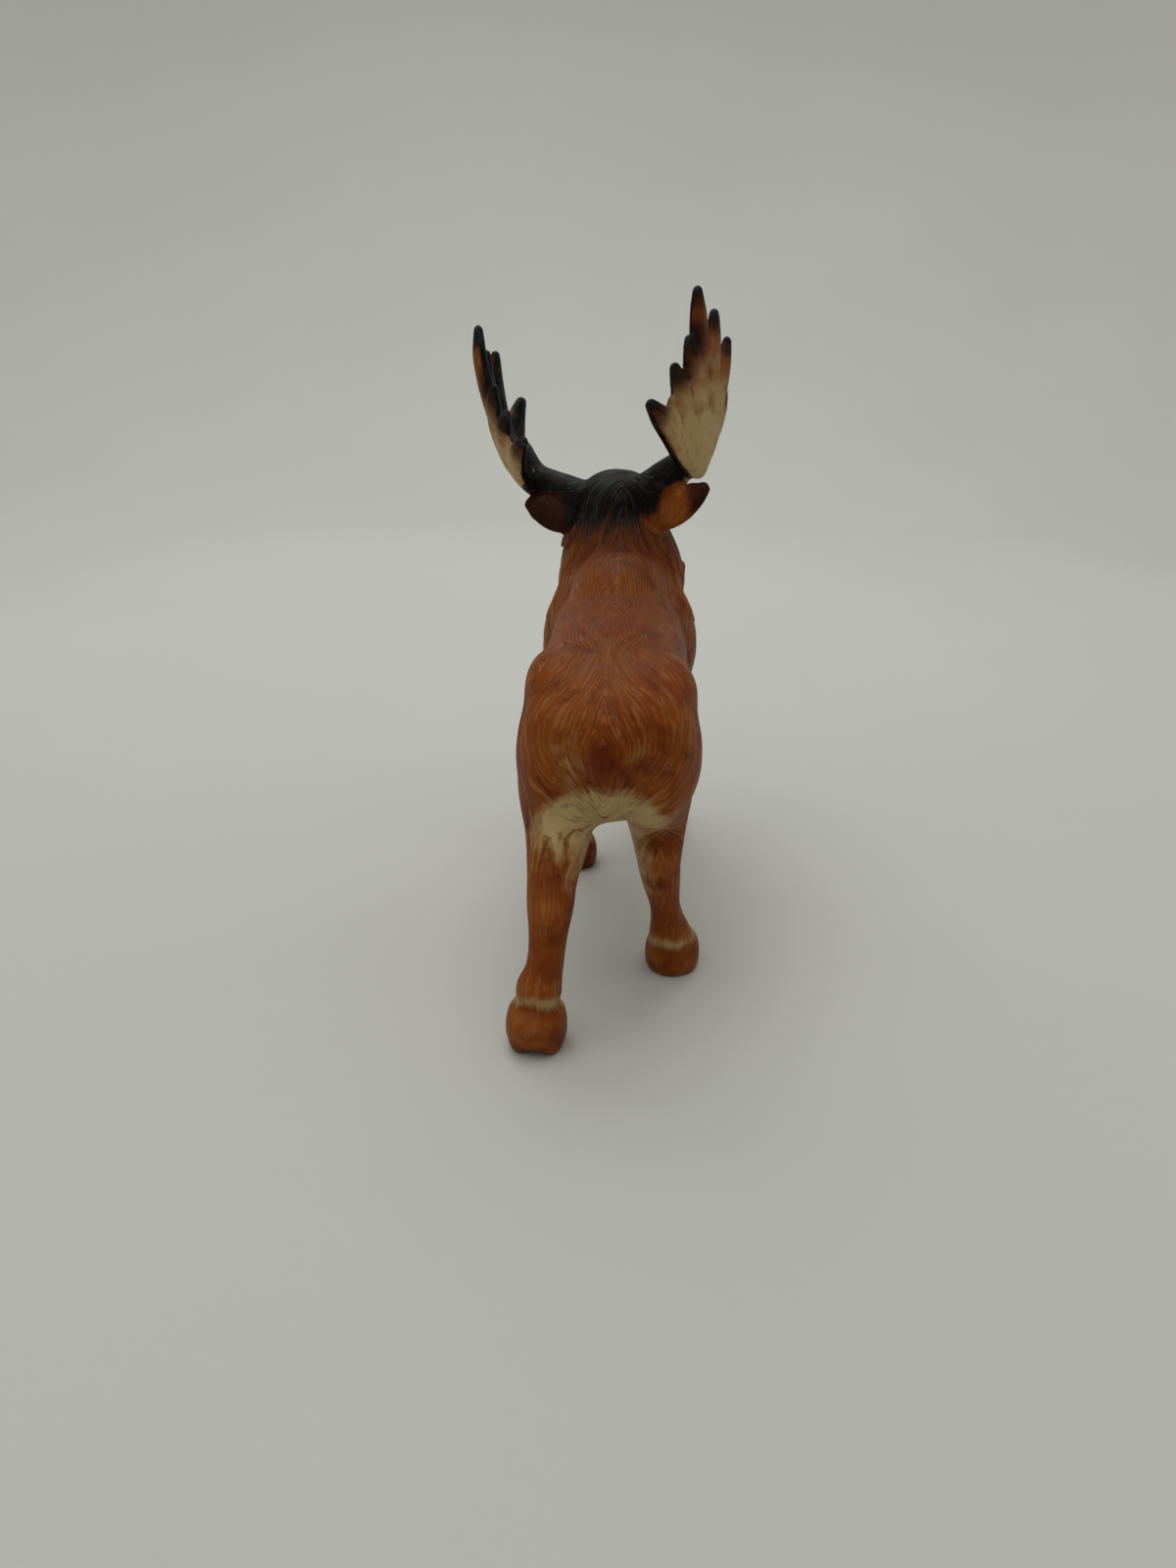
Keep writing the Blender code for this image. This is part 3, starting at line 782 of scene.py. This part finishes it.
def lay_of_hair(places, outward, parts):
    """The way that the hair points at every point, along the skin."""
    ways = np.zeros_like(places)
    for side in (1, -1):
        for place, way in GUIDES:
            away = places - np.multiply(place, (side, 1, 1))
            ways += np.multiply(way, (side, 1, 1)) / ((away**2).sum(1) + 4)[:, None] ** 2
    ways = unit(ways)
    across = places[:, 0] - ARC_CENTRE[0]
    above = np.maximum(places[:, 2] - ARC_CENTRE[1], 0)
    arcs = unit(np.stack([np.sign(across) * (above + 0.01), 0 * above, -np.abs(across) - 0.01], 1))
    ridge = 0.85 * np.exp(-((across / 5) ** 2)) * fade(places[:, 2], 44, 50)
    rump = (fade(places[:, 1], 16, 25) * fade(places[:, 2], 27, 34) * (1 - ridge))[:, None]
    ways = ways * (1 - rump) + arcs * rump
    leg = (fade(places[:, 2], 33, 28) * (places[:, 2] < 34))[:, None]
    ways = ways * (1 - leg) + np.array([0, 0, -1]) * leg
    root = np.array(PALM_ROOT) * np.where([True, False, False], np.sign(parts["head"][:, :1]), 1)
    rays = unit(parts["head"] - root)
    antler = parts["antler"][:, None]
    ways = ways * (1 - antler) + (rays @ head_turn.T) * antler
    ways -= outward * (ways * outward).sum(1)[:, None]
    return unit(ways)


parts["lay"] = lay_of_hair(places, outward, parts)
print("guides:", len(GUIDES))

# %% [markdown]
# ## The hair's map
#
# Hair strokes need two measures at every point, as on a map that is laid over the animal: how far along the
# hair it is, and how far across. These are the numbers whose steps along the mesh's edges fit the lay best,
# a least-squares problem that conjugate gradients solve in seconds. Any pattern drawn on this map follows
# the hair.

# %% The hair's map
COMB_ROUNDS = 220
LEG_TOP = 31
LEG_MIDDLE = 8.2


def best_fit(one, other, steps, count):
    """The number at each point whose steps along the edges fit best, by conjugate gradients."""

    def pulled(numbers):
        step = numbers[one] - numbers[other]
        return np.bincount(one, step, count) - np.bincount(other, step, count)

    numbers = np.zeros(count)
    left = np.bincount(other, steps, count) - np.bincount(one, steps, count)
    way = left.copy()
    size = left @ left
    for _ in range(COMB_ROUNDS):
        pull = pulled(way)
        share = size / (way @ pull)
        numbers += share * way
        left -= share * pull
        before, size = size, left @ left
        way = left + way * size / before
    return numbers


def comb(mesh, places, outward, parts):
    """How far across the hair and along it every point is, in squares. Each leg has its own middle."""
    one, other = edge_ends(mesh)
    on_leg = places[:, 2] < LEG_TOP
    body_side = np.sign(places[:, 0])
    middle = np.where(on_leg, LEG_MIDDLE * body_side, 0)
    side = np.where(places[:, 0] < middle, -1, 1) * np.where(on_leg, body_side, 1)
    across = np.cross(outward, parts["lay"]) * side[:, None]
    fanwise = np.cross(parts["lay"], head_turn[:, 0] * np.sign(parts["head"][:, :1]))
    across = np.where(parts["antler"][:, None] > 0.5, unit(fanwise), across)
    edge = places[other] - places[one]
    measures = []
    for ways in (across, parts["lay"]):
        steps = ((ways[one] + ways[other]) / 2 * edge).sum(1)
        measures.append(best_fit(one, other, steps, len(places)))
    return np.stack(measures, 1)


hair_map = comb(moose.data, places, outward, parts)
print("the map is", np.ptp(hair_map, axis=0).round(1), "squares across and along")

# %% [markdown]
# ## Locks of the mane
#
# The neck and the chest are shaggy: pointed locks hang in rows, each row half a lock on from the one above
# it. Each lock could be modelled by hand. A rule of the angle round the neck and the height gives all the
# rows at once, and a fade keeps them to the mane.


# %% Locks of the mane
LOCKS_AROUND = 22
LOCK_LENGTH = 8.5
LOCK_DEPTH = 0.85
NECK_MIDDLE = -30


def mane_share(places):
    """How shaggy the coat is: most of all on the throat and the chest, less on the nape."""
    level = fade(places[:, 2], 38, 46) * fade(places[:, 2], 70, 64)
    along = fade(places[:, 1], -10, -24) * fade(places[:, 1], -46, -42.5)
    return level * along * (0.3 + 0.7 * fade(places[:, 1], -22, -38))


def lock_relief(places):
    """How far a lock stands out. Locks hang in rows round the neck, each row half a lock on."""
    angle = np.arctan2(places[:, 0], NECK_MIDDLE - places[:, 1])
    down = places[:, 2] / LOCK_LENGTH + 0.3 * np.sin(3 * angle)
    row = np.floor(down)
    from_tip = down - row
    off = (LOCKS_AROUND * angle / math.tau + row / 2) % 1 - 0.5
    half = np.minimum(0.5, 0.15 + from_tip)
    return np.maximum(0, 1 - (off / half) ** 2) * (1 - from_tip)


print("the deepest lock stands", LOCK_DEPTH, "squares proud")

# %% [markdown]
# ## Hair strokes and dents
#
# The sculptor also cut hair strokes all over the coat, striations into the antlers, and dents for nostrils,
# mouth and ears. The strokes are a smooth noise on the hair's map, drawn long along the hair and narrow
# across it. Cutting real grooves, and not just shading them, makes the coat catch the light at the animal's
# outline too.

# %% Noise
def speckle(cells):
    """A number from 0 to 1 for each cell of a grid, as good as random but always the same."""
    return np.modf(np.abs(np.sin(cells @ np.array([127.1, 311.7, 74.7])) * 43758.5453))[0]


def soft_noise(spots):
    """Smooth noise from 0 to 1 with one bump to a cell."""
    cell = np.floor(spots)
    way = fade(spots - cell, 0, 1)
    total = np.zeros(len(spots))
    for corner in itertools.product((0, 1), repeat=3):
        total += speckle(cell + corner) * np.prod(np.where(corner, way, 1 - way), axis=1)
    return total


print("four cells of the noise:", speckle(np.arange(12).reshape(4, 3)).round(2))

# %% Carve
STROKE_WIDTH = 0.9
STROKE_LENGTH = 6
STROKE_DEPTH = 0.42
MOUTH_STEPS = 16


def dents():
    """Nostrils, mouth and the hollows of the ears: a centre, a radius and a depth for each."""
    for spot in NOSTRILS:
        yield head_place @ spot, 1.6, 1
    for side, reach, droop in EARS:
        yield head_place @ Vector((side * reach * 10.5, -3.7, -3.9 - droop)), 3.2, 0.7
        for k in range(MOUTH_STEPS):
            yield head_place @ face_point(23 + 0.55 * k, -9.3 - 0.05 * k, side * 5), 0.8, 0.35


def stroke_relief(hair_map, places):
    """Hair strokes, from a half below to a half above the skin."""
    spots = np.stack([hair_map[:, 0] / STROKE_WIDTH, hair_map[:, 1] / STROKE_LENGTH, places[:, 0] / 9], 1)
    return 0.65 * soft_noise(spots) + 0.35 * soft_noise(spots * [2, 1.7, 1] + 31) - 0.5


def coat_share(places, parts):
    """How deep the strokes are cut: all over the coat, less on legs and face, and not on the hooves."""
    share = (0.45 + 0.55 * fade(places[:, 2], 20, 34)) * (1 - 0.6 * parts["face"]) * (1 - parts["hoof"])
    share *= 1 - 0.5 * parts["ear"]
    return np.where(parts["antler"] > 0.5, 0.6, share)


bare = np.maximum.reduce([parts["antler"], parts["ear"], parts["face"] * fade(places[:, 2], 56, 62)])
rise = LOCK_DEPTH * mane_share(places) * lock_relief(places) * (1 - bare)
rise += STROKE_DEPTH * coat_share(places, parts) * stroke_relief(hair_map, places)
for centre, radius, depth in dents():
    away = distance(places, [centre]) / radius
    rise -= depth * np.where(away < 1, (1 - away**2) ** 2, 0)
write_points(moose.data, places + outward * rise[:, None])
print("carved from", rise.min().round(2), "to", rise.max().round(2), "squares")

# %% [markdown]
# ## Fewer faces and level soles
#
# The carved skin has more faces than it needs on its smooth stretches. A coarser voxel would lose the
# carving, but collapsing edges keeps it. The toy stands flat on its hooves, so the soles are cut level and
# closed again.

# %% Fewer faces and level soles
TRIANGLES = 194000

thinner = moose.modifiers.new("Fewer faces", "DECIMATE")
thinner.ratio = min(1, TRIANGLES / (2 * len(moose.data.polygons)))
thinner.use_collapse_triangulate = True
as_modified(moose)
skin = bmesh.new()
skin.from_mesh(moose.data)
everything = skin.verts[:] + skin.edges[:] + skin.faces[:]
level = (0, 0, SOLE_LEVEL)
bmesh.ops.bisect_plane(skin, geom=everything, plane_co=level, plane_no=(0, 0, 1), clear_inner=True)
bmesh.ops.remove_doubles(skin, verts=skin.verts[:], dist=0.01)
bmesh.ops.holes_fill(skin, edges=[edge for edge in skin.edges if edge.is_boundary], sides=0)
bmesh.ops.triangulate(skin, faces=skin.faces[:])
bmesh.ops.recalc_face_normals(skin, faces=skin.faces[:])
skin.to_mesh(moose.data)
skin.free()
print("the moose has", len(moose.data.polygons), "triangles")

# %% [markdown]
# ## Where the paint goes
#
# The toy was sprayed orange-brown all over, then other colours were sprayed on through masks: black over
# the top of the head, the beams and the hollows of the palms, dark brown down the neck and on the tips,
# reddish brown round the tail, cream between the thighs, at the palms' roots and in a ring over each hoof.
# A painted image would need the skin to be flattened. Instead each colour is a share from 0 to 1 at every
# point, worked out from where the point is.


# %% Paint on trunk and legs
ARCH_TOP = 38.8
ALL_OVER_RED = 0.14


def body_paint(places, outward, parts):
    """Cream, reddish brown and dark brown on trunk, neck, legs and hooves."""
    x, y, z = places.T
    body = 1 - np.maximum(parts["antler"], parts["ear"])
    hind = fade(y, 12, 20)
    arch = ARCH_TOP - 0.055 * (x - 0.2) ** 2
    between_thighs = fade(y, 16, 24) * fade(z, 25, 33) * fade(np.abs(x - 0.2), 13.5, 6)
    groin = between_thighs * fade(z, arch + 2.5, arch - 2.5)
    toward_middle = -np.sign(x) * outward[:, 0]
    paling = np.where(x > 0, 0.55 * fade(z, 21, 30), 0.62 * fade(z, 12, 22)) * (0.4 + 0.6 * hind)
    inner_leg = fade(z, 36, 31) * paling * fade(toward_middle, -0.1, 0.8)
    belly = 0.55 * fade(-outward[:, 2], 0.3, 0.9) * fade(z, 42, 36) * fade(z, 26, 30)
    level = fade(z, 50, 57) * fade(z, 69, 64) * (1 - parts["face"])
    neck_side = level * fade(np.abs(outward[:, 0]), 0.7, 0.95) * np.where(x > 0, 0.3, 0.15)
    by_tail = 0.36 * hind * np.exp(-((x - 4.4) ** 2 / 4 + (z - 43) ** 2 / 12))
    cream = np.maximum.reduce([groin, inner_leg, belly, 0.58 * parts["ring"], neck_side]) * body

    tail = 0.8 * fade(y, 29, 34) * np.exp(-((x + 0.3) ** 2 / 16 + (z - 42.5) ** 2 / 26))
    all_over = np.full_like(x, ALL_OVER_RED)
    red = np.maximum.reduce([tail, 0.24 * fade(z, 34, 26), 0.4 * parts["hoof"], all_over]) * body

    nape = 0.62 * fade(z, 54, 66) * fade(y, -42, -36)
    spine = 0.3 * fade(outward[:, 2], 0.6, 0.95) * fade(z, 50, 54)
    return {"cream": np.maximum(cream, by_tail), "red": red, "dark": np.maximum(nape, spine) * body}


print("the cream ends", ARCH_TOP, "squares up")


# %% Paint on antlers and ears
def antler_paint(outward, parts):
    """Cream palms, dark tips and black hollows, a black poll, and dark ears."""
    head, antler, ear = (parts[name] for name in ("head", "antler", "ear"))
    mirrored = on_one_side(head)
    out, forward, up = mirrored.T
    poll = fade(up, -10.5, -4) * fade(forward, 4.5, 0.5) * (1 - ear * fade(out, 6.5, 12))
    facing_out = outward @ head_turn[:, 0] * np.sign(head[:, 0])
    outer_root = fade(out, 12.8, 14.2) * fade(facing_out, 0, 0.4)
    palm = antler * np.maximum(fade(out + 0.25 * up, 13.6, 15.4), outer_root)
    from_root = distance(mirrored, [PALM_ROOT])
    to_tip = distance(head, tine_tips)
    inner = fade(facing_out + 0.25 * outward[:, 1], 0.12, -0.3)
    tips = np.maximum(inner, 0.8 * fade(to_tip, 3.4, 0.8))
    left_ear = ear * (head[:, 0] < 0)
    ear_tip = ear * fade(out, 12.5, 16)
    palm_cream = palm * (0.25 + 0.65 * fade(from_root, 19, 6))
    return {
        "cream": np.maximum(palm_cream, 0.4 * left_ear * fade(outward[:, 2], -0.3, -0.9)),
        "dark": np.maximum.reduce([0.9 * palm * fade(to_tip, 7, 1.5), 0.97 * left_ear, 0.9 * ear_tip]),
        "black": np.maximum(poll, antler) * (1 - palm * (1 - tips)),
    }


print("dark tips:", len(tine_tips))


# %% Paint on the face
def face_paint(places, parts):
    """A dark muzzle, bell and eyelids, black nostrils, and the eyes."""
    x, y, z = places.T
    head = parts["head"]
    body = 1 - np.maximum(parts["antler"], parts["ear"])
    muzzle = 0.55 * fade(head[:, 1], 12, 25) * fade(z, 75, 70)
    bell = 0.5 * fade(z, 60, 48) * fade(z, 38, 43) * fade(y, -41, -43) * fade(np.abs(x), 8, 5)
    to_eye = distance(head, EYES)
    lids = 0.5 * fade(to_eye, EYE_RADIUS + 1.4, EYE_RADIUS + 0.3)
    return {
        "dark": np.maximum.reduce([muzzle, bell, lids]) * body,
        "black": fade(distance(head, NOSTRILS), 1.6, 0.3),
        "eye": fade(to_eye, EYE_RADIUS + 0.35, EYE_RADIUS + 0.1),
    }


print("painted by hand:", len(EYES), "eyes and", len(NOSTRILS), "nostrils")

# %% [markdown]
# ## Masks on the mesh
#
# The material can only read what the mesh keeps, so the masks and the hair's map are stored there, point by
# point. With them goes how far each point lies under the skin's smoothed form, so that the hollows can be
# painted darker, as painted shade.

# %% Masks on the mesh
SMOOTHING_ROUNDS = 8


def strongest(*layers):
    """Of each colour, the strongest share that any part of the animal gives it."""
    masks = {}
    for layer in layers:
        for name, share in layer.items():
            masks[name] = np.maximum(masks.get(name, 0), share)
    return masks


def hollows(mesh, places, outward):
    """How far every point lies under the skin's smoothed form, in squares."""
    one, other = edge_ends(mesh)
    count = len(places)
    neighbours = (np.bincount(one, minlength=count) + np.bincount(other, minlength=count))[:, None]
    smooth = places
    for _ in range(SMOOTHING_ROUNDS):
        total = [
            np.bincount(one, axis[other], count) + np.bincount(other, axis[one], count) for axis in smooth.T
        ]
        smooth = np.stack(total, 1) / neighbours
    return ((smooth - places) * outward).sum(1)


def store(mesh, name, numbers):
    """Keep a number for every point, where the material can read it."""
    mesh.attributes.new(name, "FLOAT", "POINT").data.foreach_set("value", numbers.astype(np.float32))


places, outward = read_points(moose.data)
parts = parts_of(places)
parts["lay"] = lay_of_hair(places, outward, parts)
hair_map = comb(moose.data, places, outward, parts)
masks = strongest(body_paint(places, outward, parts), antler_paint(outward, parts), face_paint(places, parts))
for name, share in masks.items():
    store(moose.data, name, share)
store(moose.data, "hair_depth", coat_share(places, parts))
# How deep each point lies in a hollow; the paint darkens it there as painted shade.
hollow = hollows(moose.data, places, outward) * (1 - 0.5 * parts["antler"])
store(moose.data, "hollow", np.clip(hollow / (2 * hollow.std()), -1, 1))
hair_spots = np.concatenate([hair_map, places[:, :1] / 9], axis=1).astype(np.float32)
kept = moose.data.attributes.new("hair_map", "FLOAT_VECTOR", "POINT")
kept.data.foreach_set("vector", hair_spots.ravel())
print({name: round(float(share.mean()), 3) for name, share in masks.items()})

# %% [markdown]
# ## To size, and into place
#
# So far the animal is drawn in squares. Its points are scaled to metres and moved over the solid, middle on
# middle and soles on the floor. Scaling the object instead would leave a scale on it.

# %% Set it on the solid's place
moose.data.transform(Matrix.Scale(square, 4))
corners = np.array([vertex.co for vertex in moose.data.vertices])
lows, highs = corners.min(0), corners.max(0)
shift = (Vector(solid_low) + Vector(solid_high)) / 2 - Vector((lows + highs) / 2)
shift.z = solid_low.z - lows[2]
moose.data.transform(Matrix.Translation(shift))
moose.data.name = "moose"
moose.data.shade_smooth()
print("visual size", [round(1000 * side, 1) for side in highs - lows], "mm")

# %% [markdown]
# ## The paint
#
# One material paints the whole toy, because it is one casting. It reads the masks and the hair's map from
# the mesh. These helpers read a measure, make noise on the map, and mix two paints.

# %% Helpers for the paint
LINES_APART = 0.314  # the wave's scale at which its lines lie one stroke apart

coat_finish, tree, shader = new_finish("painted_plastic")


def measure(name):
    """What the mesh keeps under a name."""
    return add_node(tree, "ShaderNodeAttribute", attribute_name=name).node.outputs["Fac"]


def on_hair_map(width, length):
    """A place on the hair's map, counted in strokes of a width and a length."""
    spot = add_node(tree, "ShaderNodeAttribute", attribute_name="hair_map").node.outputs["Vector"]
    return add_node(tree, "ShaderNodeMapping", {"Vector": spot, "Scale": (1 / width, 1 / length, 1)})


def hair_noise(width, length):
    """Noise on the hair's map: long along the hair, narrow across it."""
    inputs = {"Vector": on_hair_map(width, length), "Scale": 1.0, "Detail": 2.5, "Roughness": 0.55}
    return add_node(tree, "ShaderNodeTexNoise", inputs)


def comb_lines(width, length):
    """The grooves of a comb, a stroke's width apart, that wander a little."""
    inputs = {"Vector": on_hair_map(width, length), "Scale": LINES_APART, "Distortion": 5.0, "Detail": 2.0}
    return add_node(tree, "ShaderNodeTexWave", {**inputs, "Detail Scale": 2.2, "Detail Roughness": 0.6})


def span(value, low, high, to_low=0.0, to_high=1.0):
    """A value carried from one range to another, smoothly."""
    inputs = {0: value, 1: low, 2: high, 3: to_low, 4: to_high}
    return add_node(tree, "ShaderNodeMapRange", inputs, interpolation_type="SMOOTHSTEP")


def sums(kind, one, other):
    """One number worked out from two."""
    return add_node(tree, "ShaderNodeMath", {0: one, 1: other}, operation=kind)


def blend_paint(share, under, over):
    """One paint over another, by a share from 0 to 1."""
    made = add_node(tree, "ShaderNodeMix", {0: share, 6: under, 7: over}, data_type="RGBA")
    return made.node.outputs[2]


print("the plastic starts with", len(tree.nodes), "nodes")

# %% [markdown]
# ## Strokes, hollows and mist
#
# Shade and light are painted into the colour: the grooves and the hollows are painted darker, as painted
# shade, and the ridges paler, as painted highlight. The mesh knows its hollows. Strokes finer than its faces
# come from noise on the hair's map, mostly broken, with a share of even grooves. Noise in space adds the
# spray's mist, clouds and blots.

# %% Strokes, hollows and mist
HAIR_WIDTH = 0.55
HAIR_LENGTH = 3.2
GROOVE_SHARE = 0.22
HOLLOW_SHADE_SHARE = 0.24
MIST = {"Scale": 420.0, "Detail": 4.0}
CLOUDS = {"Scale": 110.0, "Detail": 2.0}
BLOTS = {"Scale": 230.0, "Detail": 3.0}

grooves = comb_lines(HAIR_WIDTH, HAIR_LENGTH)
strokes = hair_noise(HAIR_WIDTH, HAIR_LENGTH)
fine_strokes = hair_noise(HAIR_WIDTH / 2.4, HAIR_LENGTH / 2)
object_place = add_node(tree, "ShaderNodeTexCoord").node.outputs["Object"]
mist, clouds, blots = (
    add_node(tree, "ShaderNodeTexNoise", {"Vector": object_place, **grain}) for grain in (MIST, CLOUDS, BLOTS)
)
carved = sums("ADD", sums("MULTIPLY", grooves, GROOVE_SHARE), sums("MULTIPLY", strokes, 1 - GROOVE_SHARE))
centred = sums("MULTIPLY", sums("SUBTRACT", carved, 0.5), measure("hair_depth"))
uneven = sums("MULTIPLY", sums("SUBTRACT", mist, 0.5), 0.5)
# Painted shade: the hollows make the colour darker.
hollow_shade = sums("MULTIPLY", measure("hollow"), HOLLOW_SHADE_SHARE)
relief = sums("ADD", sums("SUBTRACT", sums("ADD", centred, uneven), hollow_shade), 0.5)
broken = sums("ADD", sums("MULTIPLY", strokes, 0.55), sums("MULTIPLY", mist, 0.45))
along_hair = sums("SUBTRACT", broken, 0.5)
in_blots = sums("SUBTRACT", blots, 0.5)
print("strokes are", HAIR_WIDTH, "squares wide and", HAIR_LENGTH, "long")

# %% [markdown]
# ## Layers of colour
#
# The colours lie on one another in the order in which they were sprayed: orange-brown first, then reddish
# brown, cream, dark brown and black, and the eyes' gloss black last. A clean mask would look like a cut
# stencil, so each mask's edge is broken up, along the hair or in blots. Under them, shade and highlight are
# painted into the orange-brown, the cream and the black.

# %% Layers of colour
ORANGE_BROWN = (0.205, 0.041, 0.0035, 1)
ORANGE_YELLOW = (0.235, 0.062, 0.006, 1)
# Painted shade and painted highlight of the orange-brown, for its grooves and its ridges.
PAINTED_SHADE_ORANGE = (0.12, 0.02, 0.001, 1)
PAINTED_HIGHLIGHT_ORANGE = (0.34, 0.105, 0.023, 1)
REDDISH_BROWN = (0.12, 0.016, 0.001, 1)
DARK_BROWN = (0.028, 0.005, 0.0015, 1)
CREAM = (0.5, 0.345, 0.16, 1)
# Painted shade of the cream, for its grooves and hollows.
PAINTED_SHADE_CREAM = (0.22, 0.1, 0.025, 1)
BLACK = (0.004, 0.0035, 0.003, 1)
# Painted highlight of the black, for its ridges, standing in for its sheen.
PAINTED_HIGHLIGHT_BLACK = (0.035, 0.035, 0.033, 1)
EYE_BLACK = (0.002, 0.002, 0.002, 1)


def sprayed(name, raggedness, edge, softness=0.45):
    """A mask whose edge is broken up, along the hair or in blots."""
    moved = sums("ADD", measure(name), sums("MULTIPLY", edge, raggedness))
    return span(moved, 0.5 - softness, 0.5 + softness)


coat = blend_paint(span(clouds, 0.35, 0.65), ORANGE_BROWN, ORANGE_YELLOW)
# Painted shade in the grooves and hollows, then painted highlight on the ridges.
coat = blend_paint(span(relief, 0.48, 0.15), coat, PAINTED_SHADE_ORANGE)
coat = blend_paint(span(relief, 0.52, 0.85), coat, PAINTED_HIGHLIGHT_ORANGE)
coat = blend_paint(sprayed("red", 2.4, in_blots), coat, REDDISH_BROWN)
# The cream with painted shade in its grooves and hollows.
cream_with_painted_shade = blend_paint(span(relief, 0.5, 0.15), CREAM, PAINTED_SHADE_CREAM)
coat = blend_paint(sprayed("cream", 1.7, along_hair), coat, cream_with_painted_shade)
coat = blend_paint(sprayed("dark", 1.4, along_hair), coat, DARK_BROWN)
# The black with a painted highlight on its ridges.
black_with_painted_highlight = blend_paint(span(relief, 0.5, 0.85), BLACK, PAINTED_HIGHLIGHT_BLACK)
coat = blend_paint(sprayed("black", 2.2, along_hair, 0.4), coat, black_with_painted_highlight)
coat = blend_paint(measure("eye"), coat, EYE_BLACK)
tree.links.new(coat, shader.inputs["Base Color"])
print("the colours take", len(tree.nodes), "nodes")

# %% [markdown]
# ## Sheen
#
# The plastic is semi-matte, a little shinier on some strokes than on others, and only the eyes are glossy.
# The strokes too fine for the mesh tilt the surface through a shallow bump, so that each catches the light.

# %% Sheen and bump
BUMP_DEPTH = 0.00035
FINE_SHARE = 0.25
EYE_ROUGHNESS = (0.12, 0.12, 0.12, 1)

height = sums("ADD", carved, sums("MULTIPLY", fine_strokes, FINE_SHARE))
height = sums("MULTIPLY", height, measure("hair_depth"))
bump = add_node(tree, "ShaderNodeBump", {"Height": height, "Strength": 1.0, "Distance": BUMP_DEPTH})
tree.links.new(bump, shader.inputs["Normal"])
matte = span(fine_strokes, 0.2, 0.8, 0.4, 0.56)
tree.links.new(blend_paint(measure("eye"), matte, EYE_ROUGHNESS), shader.inputs["Roughness"])
tree.links.new(sums("MULTIPLY", measure("eye"), 0.3), shader.inputs["Coat Weight"])
shader.inputs["Coat Roughness"].default_value = 0.06
shader.inputs["Specular IOR Level"].default_value = 0.1
moose.data.materials.clear()
moose.data.materials.append(coat_finish)
print("the paint has", len(tree.nodes), "nodes")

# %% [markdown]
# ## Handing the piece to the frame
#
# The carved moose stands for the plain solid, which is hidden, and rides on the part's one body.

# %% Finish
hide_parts("moose_figurine")
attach(moose, "root")
